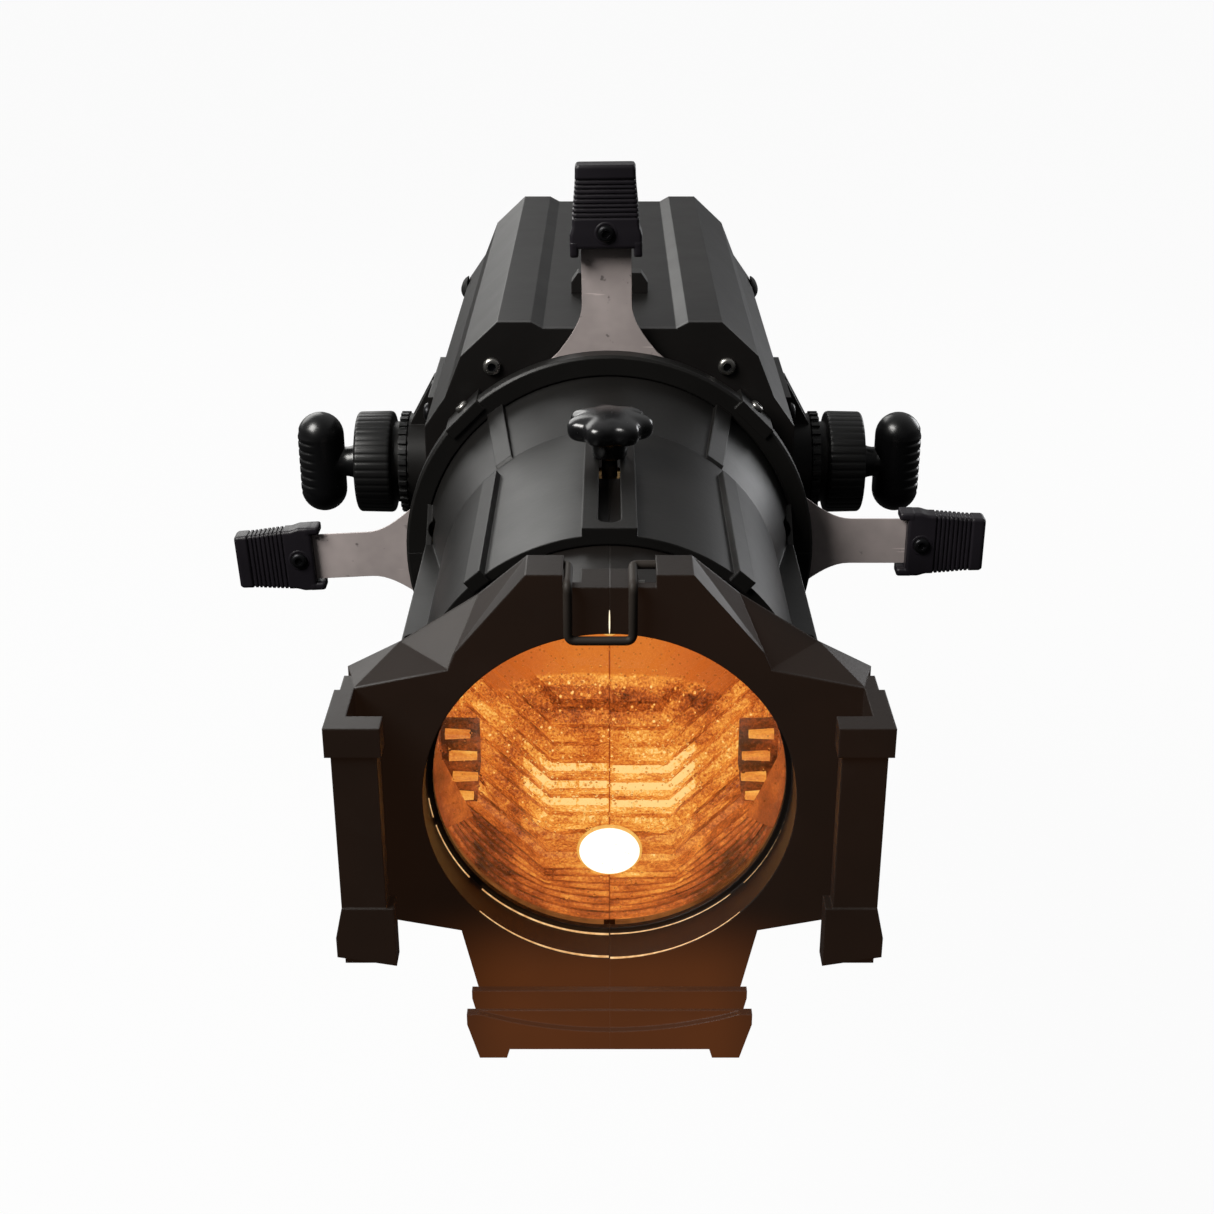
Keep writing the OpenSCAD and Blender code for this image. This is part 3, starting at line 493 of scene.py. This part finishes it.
def copy_node(node, snap=(), drop=None, mats=None):
    """A copy of a CAD node's mesh as a new piece.

    snap closes the joint line at X or Z 0; drop(x, y, z) leaves faces out.
    """
    src = NODES[node]
    me = src.data.copy()
    me.name = node + "_shell"
    bm = bmesh.new()
    bm.from_mesh(me)
    centre = (0.0, AXIS_Y, AXIS_Z)
    for v in bm.verts:
        for k in snap:
            if abs(v.co[k] - centre[k]) < JOINT_GAP:
                v.co[k] = centre[k]
    if drop:
        gone = []
        for f in bm.faces:
            c = f.calc_center_median()
            if drop(c.x / MM, (c.y - AXIS_Y) / MM, (c.z - AXIS_Z) / MM):
                gone.append(f)
        bmesh.ops.delete(bm, geom=gone, context="FACES")
    bm.to_mesh(me)
    bm.free()
    if mats:
        me.materials.clear()
        for m in mats:
            me.materials.append(m)
    o = bpy.data.objects.new(me.name, me)
    bpy.context.scene.collection.objects.link(o)
    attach(o, src["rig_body"])
    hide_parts(node)
    return o


# ---------- housing and barrel halves: the joint lines closed ----------
for name in ("housing_top", "housing_bottom", "barrel_top", "barrel_bottom"):
    copy_node(name, snap=(2,))

# ---------- lens tube: two cast halves, their inside left to the lit light trap ----------
TRAP_Y0, TRAP_Y1, TRAP_RADIUS = 28.3, 171.5, 62.35


def inside_trap(x, y, z):
    return TRAP_Y0 < y < TRAP_Y1 and math.hypot(x, z) < TRAP_RADIUS


for side in ("left", "right"):
    copy_node("lens_tube_" + side, snap=(0,), drop=inside_trap)


# the colours of the painted light inside the tube, from dark to hot
AMBER_LIGHT = ((0.0, (0.030, 0.007, 0.002)), (0.28, (0.28, 0.055, 0.012)), (0.5, (0.56, 0.145, 0.026)),
         (0.72, (0.80, 0.33, 0.060)), (0.9, (0.93, 0.55, 0.135)), (1.0, (1.0, 0.76, 0.36)))


def lit(name, offset, hot_rows=0.0, noisy=1.0):
    """Metal lit from inside: amber by depth, mottled and grainy, darker at the sides and the joint line.

    offset shifts the whole tone, hot_rows brightens the rows behind the lens's middle, and noisy
    scales the mottling. t is the place on the AMBER_LIGHT ramp.
    """
    k = Mat(name)
    x, y, z = k.xyz()
    x = k.mul(x, 1000.0)
    y = k.mul(k.sub(y, AXIS_Y), 1000.0)
    z = k.mul(k.sub(z, AXIS_Z), 1000.0)
    wide = k.away(x, 0.0)
    fine = k.noise(950, 3, 0.75)
    mottle = k.noise(170, 3, 0.6, stretch=(0.45, 1.0, 1.0))
    broad = k.noise(38, 2, 0.5, stretch=(0.5, 1.0, 1.0))
    speck = k.sub(fine, 0.5)
    # by depth, lower edge and width
    t = k.span(y, 20.0, 44.0, 0.30, 0.50)
    t = k.add(t, k.span(y, 44.0, 100.0, 0.0, 0.24))
    t = k.add(t, k.span(y, 108.0, 150.0, 0.0, -0.17))
    t = k.sub(t, k.mul(k.span(z, -50.0, -46.0), k.span(z, -34.0, -38.0, 0.0, 0.12)))
    t = k.sub(t, k.mul(k.span(wide, 18.0, 62.0, smooth=False), 0.26))
    # grain, mottling, and the specks and bubbles of the glass
    t = k.add(t, k.mul(speck, k.span(y, 30.0, 90.0, 0.7 * noisy, 1.5 * noisy)))
    t = k.add(t, k.mul(k.sub(mottle, 0.5), 1.0 * noisy))
    t = k.add(t, k.mul(k.sub(broad, 0.5), 0.8 * noisy))
    depth = k.mul(k.span(y, 70.0, 100.0, 0.35, 1.0), noisy)
    t = k.add(t, k.mul(k.span(k.cells(330.0), 0.17, 0.09), k.mul(depth, 0.5)))
    band = k.mul(k.span(y, 128.0, 134.0), k.span(wide, 46.0, 38.0))
    t = k.add(t, k.mul(k.mul(k.span(k.cells(260.0, 0.5), 0.2, 0.1), band), 0.5 * noisy))
    t = k.add(t, offset)
    # the calm far wall above the deepest row, and that row itself
    far = k.span(y, 138.0, 150.0)
    above = k.mul(far, k.span(z, -37.0, -34.5))
    calm = k.add(k.span(wide, 10.0, 52.0, 0.56, 0.40), k.mul(speck, 0.12))
    t = k.add(k.mul(t, k.sub(1.0, above)), k.mul(calm, above))
    row = k.mul(far, k.span(k.away(z, -37.6), 2.6, 1.2))
    t = k.add(t, k.mul(row, k.span(wide, 46.0, 20.0, 0.05, 0.24)))
    if hot_rows:
        rows = k.mul(k.span(y, 88.0, 92.0), k.span(y, 128.0, 122.0))
        block = k.mul(rows, k.span(k.away(wide, 16.5), 16.0, 15.0))
        gap = k.span(k.away(x, -12.0), 0.3, 0.9)
        t = k.add(t, k.mul(k.mul(block, gap), hot_rows))
    t = k.mul(t, k.span(wide, 0.12, 0.4, 0.45, 1.0))
    ramp = k.node("ValToRGB", {"Fac": t})
    e = ramp.color_ramp.elements
    for i, (at, c) in enumerate(AMBER_LIGHT):
        el = e[i] if i < 2 else e.new(at)
        el.position = at
        el.color = rgb(c)
    k.set(Base_Color=k.mix(fine, (0.03, 0.012, 0.004), (0.09, 0.04, 0.015)))
    k.set(Roughness=k.span(broad, 0.3, 0.7, 0.35, 0.5))
    k.set(Emission_Color=ramp.outputs["Color"], Emission_Strength=1.0, Normal=k.bump(fine, 0.3, 0.0003))
    return k.m


LIT_FACE = lit("lit_rib_face", 0.06, 0.32)
LIT_FLOOR = lit("lit_trap_floor", 0.02)
LIT_TOP = lit("lit_rib_top", -0.15)
LIT_END = lit("lit_end_wall", -0.02, 0.0, 0.14)
LIT_FIN = lit("lit_fin", 0.40, 0.0, 0.7)
LIT_PANEL = lit("lit_panel", 0.12, 0.0, 0.5)
LIT_WELL = lit("lit_well", -0.16, 0.0, 0.9)


TRAP_WALL = 62.1                # the most that the trap reaches from the axis
FACE, FLOOR, TOP, END = range(4)  # the trap's materials


def trap_point(side, a, eight, phi):
    """A point of the trap's outline: apothem a, a share of eight-sidedness, phi from the bottom."""
    k = ((phi + math.pi / 8) % (math.pi / 4)) - math.pi / 8
    r = min(TRAP_WALL, a * (1 - eight) + eight * a / math.cos(k))
    return side * r * math.sin(phi), -r * math.cos(phi)


def light_trap(side):
    """One half of the stepped trap seen through the lens, with its fins, well and panel."""
    hand = "right" if side > 0 else "left"
    shift = -1.6 if side > 0 else 0.0     # the two castings don't quite line up

    def lit_piece(name, v, f, mats, per=None):
        add_mesh("%s_%s" % (name, hand), v, f, mats, "lens_tube",
                 face_mat=per, smooth=False)

    rows, kinds = [], []          # (y, apothem, eight) and the material of the band that follows
    y, a = 22.5, 60.2
    for i in range(7):            # fine ribs near the lens
        eight = step(i, 1.0, 6.0)
        rows += [(y + dy, a - da, eight) for dy, da in ((0.0, 0.0), (2.6, 0.1), (2.8, 1.0), (4.2, 1.0))]
        kinds += [FLOOR, FACE, TOP, TOP]
        y += 4.4
        a -= 0.28
    for i in range(8):            # broad ribs
        rib = 2.4 + 0.15 * i
        rows += [(y, a, 1.0), (y + 7.6, a - 0.3, 1.0), (y + 8.4, a - rib, 1.0),
                 (y + 12.2, a - rib + 0.3, 1.0)]
        kinds += [FLOOR, FACE, TOP, TOP]
        y += 12.5
        a -= 0.55
    rows += [(y, a, 1.0), (y + 3.0, 47.0, 1.0), (y + 6.5, 44.5, 1.0), (y + 8.5, 36.0, 1.0),
             (y + 11.0, 33.6, 1.0), (y + 12.0, 31.4, 1.0), (y + 12.2, 8.0, 0.2), (y + 12.3, 0.02, 0.0)]
    kinds += [FLOOR, TOP, FLOOR, FACE, FACE, END, END]
    m = 72
    rings = []
    for yy, aa, ee in rows:
        ring = []
        for j in range(m + 1):
            px, pz = trap_point(side, aa, ee, math.pi * j / m)
            ring.append((px, yy + (shift if yy > 30 else 0.0), pz))
        rings.append(ring)
    verts, faces = loft(rings, close=False, caps=False)
    per = [k for k in kinds for _ in range(m)]
    lit_piece("light_trap", verts, faces, [LIT_FACE, LIT_FLOOR, LIT_TOP, LIT_END], per)
    # panels and bright fins at the sides
    parts = []
    for z, w in ((5.0, 8.5), (-3.4, 9.5), (-11.6, 8.6), (-19.2, 6.0)):
        sec = []
        for yy in (37.0, 37.6, 40.4, 41.0):
            g = 0.0 if yy in (37.6, 40.4) else 0.4
            x1, x0 = 55.6 + 0.12 * z, 55.6 + 0.12 * z - w
            sec.append([(side * (x0 + g), yy, z - 1.0 + g), (side * x1, yy, z - 1.6 + g),
                        (side * x1, yy, z + 1.2 - g), (side * (x0 + g), yy, z + 0.8 - g)])
        parts.append(loft(sec))
    v, f = merge(parts)
    lit_piece("trap_fins", v, f, [LIT_FIN])
    well = [[(side * x, 43.0, z) for x in across]
            for across, z in (((44.6, 60.5), 9.0), ((44.6, 59.6), -8.0), ((46.4, 55.0), -24.0))]
    v, f = loft(well, close=False, caps=False)
    lit_piece("trap_well", v, f, [LIT_WELL])
    outer = [(60.9, 20.6, 16.0), (60.7, 20.6, 4.0), (59.4, 20.6, -10.0), (57.0, 20.6, -22.5)]
    inner = [(60.0, 24.5, 15.0), (58.0, 30.0, 3.0), (53.6, 33.0, -10.0), (47.4, 34.0, -24.6)]
    back = [(61.0, 25.5, 15.0), (60.6, 31.0, 3.0), (57.6, 34.0, -11.0), (50.4, 35.0, -25.6)]
    panel = [[(side * q[0], q[1], q[2]) for q in row] for row in (outer, inner, back)]
    v, f = loft(panel, close=False, caps=False)
    lit_piece("trap_panel", v, f, [LIT_PANEL])


for side in (-1, 1):
    light_trap(side)


# ---------- pieces redrawn with finer shapes than the CAD ----------
def body_of(node):
    return NODES[node]["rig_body"]


def joined(name, node, parts, sharp=35):
    """One piece from (verts, faces, material) parts, in place of a CAD node."""
    verts, faces = merge([(v, f) for v, f, m in parts])
    mats = list(dict.fromkeys(m for v, f, m in parts))
    per = [mats.index(m) for v, f, m in parts for _ in f]
    return add_mesh(name, verts, faces, mats, body_of(node), (node,), per, sharp=sharp)


def arc(x0, r0, x1, r1, n, bulge):
    """Points of a rounded corner from (x0, r0) to (x1, r1)."""
    out = []
    for i in range(n + 1):
        t = math.pi / 2 * i / n
        a, b = (1 - math.cos(t), math.sin(t)) if bulge else (math.sin(t), 1 - math.cos(t))
        out.append((x0 + (x1 - x0) * a, r0 + (r1 - r0) * b))
    return out


def t_handle(side):
    """Capsule grip with short grooves on its outer side, a flared stem and the steel stud."""
    hand = "right" if side > 0 else "left"
    gx, r, half = 143.5, 11.4, 25.4       # middle of the grip in X, its radius and half length
    pitch, depth = 4.4, 0.6               # of the grooves
    rings = []
    steps_z = [-half + r * (1 - math.cos(math.pi / 2 * i / 9)) for i in range(10)]
    z = -half + r
    while z < half - r:
        z += 0.35
        steps_z.append(min(z, half - r))
    steps_z += [half - r + r * math.sin(math.pi / 2 * i / 9) for i in range(1, 10)]
    for z in steps_z:
        over = max(0.0, abs(z) - (half - r))
        q = math.sqrt(max(0.0004, r * r - over * over))
        wave = max(0.0, math.cos(2 * math.pi * (z + 1.2) / pitch)) ** 2 * step(abs(z), 21.5, 18.5)
        ring = []
        for j in range(64):
            a = 2 * math.pi * j / 64
            face = step(math.cos(a), 0.1, 0.6)
            d = q - depth * wave * face * min(1.0, q / r)
            ring.append((side * (gx + d * math.cos(a)), PIVOT_Y + d * math.sin(a), z))
        rings.append(ring)
    grip = loft(rings)
    stem = [(125.5, 0.1), (125.5, 8.3), (126.0, 8.6), (127.4, 8.4), (129.0, 7.7), (131.0, 7.3),
            (133.0, 7.4), (134.6, 7.9), (136.0, 8.6), (141.0, 8.6), (143.0, 0.1)]
    stem = lathe_x(stem, PIVOT_Y, 0, 64, sign=side)
    stud = [(86.0, 0.1), (86.0, 4.3), (86.6, 4.9), (126.0, 4.9), (126.0, 0.1)]
    stud = lathe_x(stud, PIVOT_Y, 0, 32, sign=side)
    joined("tee_handle_" + hand, "tilt_handle_" + hand,
           [grip + (GRIP,), stem + (GRIP,), stud + (SCREW,)])


t_handle(-1)
t_handle(1)


FLUTES = 40         # round each clamp disc
LOBES = 7           # round the focus knob


def disc_wave(a, x, r):
    if r < 22.0:
        return r
    c = math.cos(FLUTES * a)
    return r - 0.32 * max(0.0, c) ** 2 * step(r, 23.0, 24.6)


clamp = []
for side in (-1, 1):
    prof = [(107.0, 5.35), (107.0, 23.4)] + arc(107.0, 23.4, 108.6, 25.1, 4, True)[1:]
    prof += [(108.9, 25.2), (123.2, 24.9)]
    prof += arc(123.2, 24.9, 125.0, 23.0, 5, False)[1:] + [(125.0, 12.0), (124.5, 11.3), (124.5, 5.35)]
    v, f = lathe_x(prof, PIVOT_Y, 0, 320, wave=disc_wave, sign=side)
    clamp.append((v, f[:-2], CLAMP))
    v, f = lathe_x([(107.0, 5.35), (124.5, 5.35)], PIVOT_Y, 0, 64, sign=side)
    clamp.append((v, f[:-2], CLAMP))
joined("fluted_discs", "clamp_discs", clamp, sharp=40)

def lobes(a, t, r):
    return r - 2.5 * step(r, 8.0, 14.6) * (0.5 - 0.5 * math.cos(LOBES * a)) ** 1.3


# focus knob: (height above the optical axis, radius)
STUD_FOOT = 60
UP = (0, 0, 1)
knob = [(73.35, 0.1), (73.35, 6.0), (73.9, 6.5), (77.0, 6.9), (79.4, 7.6), (80.3, 8.8), (80.7, 11.0),
        (81.0, 13.6), (81.7, 15.2), (82.8, 16.1), (84.4, 16.45), (86.4, 16.4), (87.6, 16.0),
        (88.4, 15.3), (89.0, 14.2), (89.6, 12.4), (90.1, 10.0), (90.5, 7.5), (90.8, 4.5),
        (90.95, 2.0), (90.98, 0.1)]
knob = lathe_axis([(t - STUD_FOOT, r) for t, r in knob], (0, KNOB_Y, STUD_FOOT), UP, 196, lobes)
stem = [(1.0, 0.1), (1.0, 2.5), (1.5, 3.0), (14.2, 3.0), (14.2, 0.1)]
stem = lathe_axis(stem, (0, KNOB_Y, STUD_FOOT), UP, 32)
joined("lobed_knob", "focus_knob", [knob + (KNOB,), stem + (SCREW_DARK,)], sharp=45)


# shutter handles: u across, r along, y through
def turned(u, y, r, deg):
    a = math.radians(deg)
    return (u * math.cos(a) + r * math.sin(a), y, -u * math.sin(a) + r * math.cos(a))


def round_section(half_u, half_y, rad, n=5):
    pts = []
    for cu, cy, a0 in ((1, 1, 0), (-1, 1, 90), (-1, -1, 180), (1, -1, 270)):
        for i in range(n + 1):
            a = math.radians(a0 + 90 * i / n)
            pts.append((cu * (half_u - rad) + rad * math.cos(a), cy * (half_y - rad) + rad * math.sin(a)))
    return pts


SCREW_R = 138       # the handle's screw, from the optical axis


def shutter_handle(which, deg):
    """Ribbed plastic handle with two prongs beside the blade and a ring round its screw."""
    mid, half = 227.3, 4.65      # its middle in Y and half its thickness
    pitch, groove = 1.9, 0.75    # of the ribs
    rings = []
    r = 131.6
    while r <= 165.9:
        w = 15.0 if r < 137 else 15.0 - 1.1 * step(r, 136.5, 141.5) - 1.5 * step(r, 141.0, 164.0)
        t = half
        ribbed = step(r, 143.6, 144.2) * step(r, 160.6, 160.0)
        if ribbed > 0:
            cut = 0.42 if (r - 144.0) % pitch < groove else 0.0
            t -= ribbed * (0.30 + cut)
            w -= ribbed * cut
        end = max(0.0, r - 164.0)
        w -= 0.25 * end * end
        t -= 0.16 * end * end
        lead = max(0.0, 133.0 - r)
        w -= 0.1 * lead
        t -= 0.25 * lead * lead
        rings.append([turned(u, mid + y, r, deg) for u, y in round_section(w, t, min(1.5, t - 0.2))])
        r += 0.245
    parts = [loft(rings) + (HANDLE,)]
    for s in (-1, 1):
        rr = []
        for r, k in ((128.05, 0.88), (128.5, 0.97), (129.2, 1.0), (134.0, 1.0)):
            section = round_section(1.75 * k, half * k - 0.02, 1.0, 3)
            rr.append([turned(s * 13.2 + u, mid + y, r, deg) for u, y in section])
        parts.append(loft(rr) + (HANDLE,))
    # ring round the screw
    at = turned(0, mid - half - 0.02, SCREW_R, deg)
    bead = lathe_axis([(-0.5, 4.6), (0.04, 4.6), (0.08, 4.4), (0.08, 3.8), (-0.4, 3.7)], at, (0, -1, 0), 40)
    parts.append((bead[0], bead[1][:-2], HANDLE))
    joined("pull_" + which, "blade_handle_" + which, parts, sharp=32)


for which, deg in SHUTTERS:
    shutter_handle(which, deg)


def hex_screw(at, axis, head_r, h, shank_r, length, mat):
    """Button-head screw, h high, with a hexagon socket."""
    hr = head_r * 0.46
    head = [(-0.02, head_r * 0.97), (h * 0.3, head_r), (h * 0.62, head_r * 0.94),
            (h * 0.86, head_r * 0.8), (h * 0.97, head_r * 0.66), (h, head_r * 0.55),
            (h - 0.05, hr * 1.04)]
    v, f = lathe_axis(head, at, axis, 36)
    parts = [(v, f[:-2], mat)]

    def hexagon(a, t, r):
        k = (a % (math.pi / 3)) - math.pi / 6
        return r / math.cos(k) * math.cos(math.pi / 6)
    v, f = lathe_axis([(h - 0.05, hr * 1.05), (h * 0.4, hr)], at, axis, 36, hexagon)
    parts.append((v, f[:-2] + [f[-1]], SCREW_DARK))
    v, f = lathe_axis([(-length, shank_r), (0.0, shank_r)], at, axis, 20)
    parts.append((v, f, mat))
    return parts


RING_SCREW_R = 89.0     # the screws round the barrel's rear ring, from the optical axis

screws = []
for x in (-50.6, 50.6):
    for z in (-78.3, 78.3):
        screws += hex_screw((x, 235.0, z), (0, -1, 0), 3.9, 2.2, 2.1, 12, SCREW)
        screws += hex_screw((x, 508.6, z), (0, 1, 0), 3.9, 2.2, 2.1, 12, SCREW)
joined("plate_screws", "panel_screws", screws, sharp=40)

screws = []
for x in (-73.5, 73.5):
    for y in (82, 104, 204):
        screws += hex_screw((x, y, 6.5), (0, 0, 1), 3.6, 2.4, 1.9, 13, SCREW_DARK)
for a in (45, 135, 225, 315):
    out = (math.sin(math.radians(a)), 0, math.cos(math.radians(a)))
    at = (RING_SCREW_R * out[0], 225.0, RING_SCREW_R * out[2])
    screws += hex_screw(at, out, 3.2, 1.9, 1.5, 12, SCREW)
joined("shell_screws", "barrel_screws", screws, sharp=40)

screws = []
for x, s in ((85.8, 1), (-85.8, -1)):
    for y in (-26, 26):
        for z in (-34, 34):
            screws += hex_screw((x, PIVOT_Y + y, z), (s, 0, 0), 4.6, 3.0, 2.5, 5, SCREW_DARK)
joined("arm_screws", "bracket_screws", screws, sharp=40)

for which, deg in SHUTTERS:
    at = turned(0, 222.6, SCREW_R, deg)
    screw = hex_screw(at, (0, -1, 0), 3.5, 1.6, 2.1, 9.4, SCREW_DARK)
    joined("pull_screw_" + which, "handle_screw_" + which, screw, sharp=40)

# wire clip
wire = [(-16.3, 13.5, 78.8), (-12.9, 13.5, 78.8), (-12.9, -3, 78.8), (-12.9, -3, 60.0),
        (7.3, -3, 60.0), (7.3, -3, 78.8), (7.3, 13.5, 78.8), (16.3, 13.5, 78.8)]
v, f = tube(fillet(wire, 2.4), 1.45, 14)
joined("bent_wire", "frame_clip", [(v, f, WIRE_SPILL_LIT)])


# ---------- the lens's picture of the lit gate, and the light it spills ----------
def glow(name, low, high, strength, scale=300.0):
    """A lit surface, mottled between two colours."""
    k = Mat(name)
    n = k.noise(scale, 3, 0.6)
    k.set(Base_Color=k.mix(n, [c * 0.1 for c in low], [c * 0.2 for c in high]))
    k.set(Roughness=k.span(n, 0.3, 0.7, 0.3, 0.5))
    k.set(Emission_Color=k.mix(k.span(n, 0.3, 0.7), low, high), Emission_Strength=strength)
    return k.m


HOT = glow("gate_image", (1.0, 0.97, 0.90), (1.0, 1.0, 0.97), 1.25)
HALO = glow("gate_halo", (0.95, 0.45, 0.08), (1.0, 0.58, 0.14), 0.75)
GOLD_RIM = glow("rim_light", (0.66, 0.33, 0.12), (0.95, 0.60, 0.28), 1.0, 500)
LEAK = glow("leak_light", (1.0, 0.80, 0.50), (1.0, 0.92, 0.75), 1.3)
RING_LIGHT = glow("ring_light", (0.085, 0.028, 0.008), (0.230, 0.085, 0.024), 1.0, 90)

# the retaining ring of the front lens, painted with the brown light of the beam that grazes it; the rear
# one is behind the lit trap
copy_node("lens_rings", drop=lambda x, y, z: y > 45, mats=[RING_LIGHT])


def pebble(name, at, rx, ry, rz, mat, n=48):
    """A flattened lens-shaped body round at."""
    rings = []
    for i in range(1, 16):
        b = -math.pi / 2 + math.pi * i / 16
        rings.append([(at[0] + rx * math.cos(b) * math.cos(a), at[1] + ry * math.sin(b),
                       at[2] + rz * math.cos(b) * math.sin(a))
                      for a in (2 * math.pi * j / n for j in range(n))])
    v, f = loft(rings)
    return add_mesh(name, v, f, [mat], "lens_tube")


pebble("gate_image", (0, 21.4, -31.5), 10.4, 0.9, 9.2, HOT)
pebble("gate_halo", (0, 22.4, -31.5), 11.3, 0.6, 10.1, HALO)


def rim_arc(name, r, y, half_deg, thick, gaps, side, mat):
    """Thin lit edge along the lower part of an opening, one half of the tube."""
    parts = []
    cuts = [0.25] + sorted(g for pair in gaps for g in pair) + [half_deg]
    for a0, a1 in zip(cuts[0::2], cuts[1::2]):
        n = max(6, int((a1 - a0) * 1.2))
        path, rad = [], []
        for i in range(n + 1):
            a = math.radians(a0 + (a1 - a0) * i / n)
            path.append((side * r * math.sin(a), y, -r * math.cos(a)))
            rad.append(thick * (1.0 - 0.6 * (a0 + (a1 - a0) * i / n) / half_deg))
        parts.append(tube(path, rad, 8))
    v, f = merge(parts)
    return add_mesh(name, v, f, [mat], "lens_tube")


rim_arc("rim_inner_left", 60.9, 14.0, 84, 0.42, [(46, 52), (74, 77)], -1, GOLD_RIM)
rim_arc("rim_inner_right", 61.2, 14.4, 92, 0.42, [(43, 49)], 1, GOLD_RIM)
rim_arc("rim_outer_left", 60.7, 0.6, 46, 0.38, [], -1, GOLD_RIM)
rim_arc("rim_outer_right", 61.0, 0.3, 46, 0.38, [], 1, GOLD_RIM)
pebble("leak_line", (0, -0.25, 65.2), 0.22, 0.2, 4.2, LEAK, n=12)
pebble("leak_top", (0, 19.5, 58.0), 2.3, 0.4, 1.5, LEAK, n=24)
pebble("leak_glow", (0, 21.4, 53.0), 2.9, 0.4, 2.6, HALO, n=24)


# ---------- stage ----------
scene = bpy.context.scene
scene.view_settings.view_transform = "Standard"


def area_light(name, at, look, size, power, colour=(1, 1, 1), size_y=None):
    data = bpy.data.lights.new(name, "AREA")
    data.shape = "RECTANGLE"
    data.size, data.size_y = size, size_y or size
    data.energy = power
    data.color = colour
    o = bpy.data.objects.new(name, data)
    o.location = at
    o.rotation_euler = (Vector(look) - Vector(at)).to_track_quat("-Z", "Y").to_euler()
    scene.collection.objects.link(o)


middle = P(0, 190, 0)
area_light("key", P(-1100, -500, 1300), middle, 0.9, 50.0, (1.0, 0.985, 0.95))
area_light("back_left", P(-1100, 2000, 900), P(0, 200, 40), 1.7, 19.0, (1.0, 0.995, 0.97), 1.3)
area_light("back_right", P(1400, 1700, 300), P(0, 300, 0), 0.8, 9.0, (0.97, 0.98, 1.0))


def world():
    """A soft room: pale above, dim below and on the camera's side."""
    w = bpy.data.worlds.new("studio")
    scene.world = w
    w.use_nodes = True
    t = w.node_tree
    bg = t.nodes["Background"]
    tc = t.nodes.new("ShaderNodeTexCoord")
    sep = t.nodes.new("ShaderNodeSeparateXYZ")
    t.links.new(tc.outputs["Generated"], sep.inputs[0])

    def ramp(source, a, b, lo, hi):
        n = t.nodes.new("ShaderNodeMapRange")
        n.interpolation_type = "SMOOTHSTEP"
        for k, v in (("From Min", a), ("From Max", b), ("To Min", lo), ("To Max", hi)):
            n.inputs[k].default_value = v
        t.links.new(source, n.inputs["Value"])
        return n.outputs["Result"]

    mul = t.nodes.new("ShaderNodeMath")
    mul.operation = "MULTIPLY"
    t.links.new(ramp(sep.outputs["Z"], -0.4, 0.7, 0.03, 0.42), mul.inputs[0])
    t.links.new(ramp(sep.outputs["Y"], -0.7, 0.6, 0.25, 1.0), mul.inputs[1])
    t.links.new(mul.outputs[0], bg.inputs["Strength"])
    bg.inputs["Color"].default_value = (1, 1, 1, 1)


world()


FLOOR_REACH, FLOOR_DROP, DOME_RADIUS = 11.0, 0.25, 12.0     # metres
PAPER, PAPER_LIGHT = 0.02, 0.955                            # reflectance and own brightness


def pale(name):
    """Matt paper that lights itself, so that it stays the photo's near white."""
    k = Mat(name)
    cloud = k.span(k.noise(3, 3), 0.3, 0.7)
    k.set(Base_Color=k.mix(cloud, [PAPER * 0.97] * 3, [PAPER] * 3), Roughness=0.9)
    k.set(Specular_IOR_Level=0.0, Emission_Color=rgb((1, 1, 1)), Emission_Strength=PAPER_LIGHT)
    return k.m


def stage_piece(name, bm, mat):
    me = bpy.data.meshes.new(name)
    bm.to_mesh(me)
    bm.free()
    me.materials.append(mat)
    o = bpy.data.objects.new(name, me)
    scene.collection.objects.link(o)
    for flag in ("visible_glossy", "visible_diffuse", "visible_shadow"):
        setattr(o, flag, False)


def backdrop():
    bm = bmesh.new()
    low = cad_low[2] - FLOOR_DROP
    corners = [bm.verts.new((x * FLOOR_REACH, y * FLOOR_REACH, low))
               for x, y in ((-1, -1), (1, -1), (1, 1), (-1, 1))]
    bm.faces.new(corners)
    stage_piece("floor", bm, pale("floor_paper"))
    bm = bmesh.new()
    bmesh.ops.create_icosphere(bm, subdivisions=4, radius=DOME_RADIUS)
    for f in bm.faces:
        f.normal_flip()
    stage_piece("backdrop", bm, pale("backdrop_paper"))


backdrop()

# ---------- camera: the photo's angle, solved from its vanishing points ----------
PHOTO_PX, FOCAL_PX, CENTRE_PX = 1214.0, 1750.0, 609.5
SENSOR_MM, PITCH_DEG = 36.0, 24.2
cam_data = bpy.data.cameras.new("camera")
cam_data.sensor_width = SENSOR_MM
cam_data.lens = SENSOR_MM * FOCAL_PX / PHOTO_PX
cam_data.shift_x = -(CENTRE_PX - PHOTO_PX / 2) / PHOTO_PX
cam_data.clip_end = 200.0
camera = bpy.data.objects.new("camera", cam_data)
scene.collection.objects.link(camera)
camera.location = P(0, -494.6, 292.5)
camera.rotation_euler = (math.radians(90.0 - PITCH_DEG), 0.0, 0.0)
scene.camera = camera
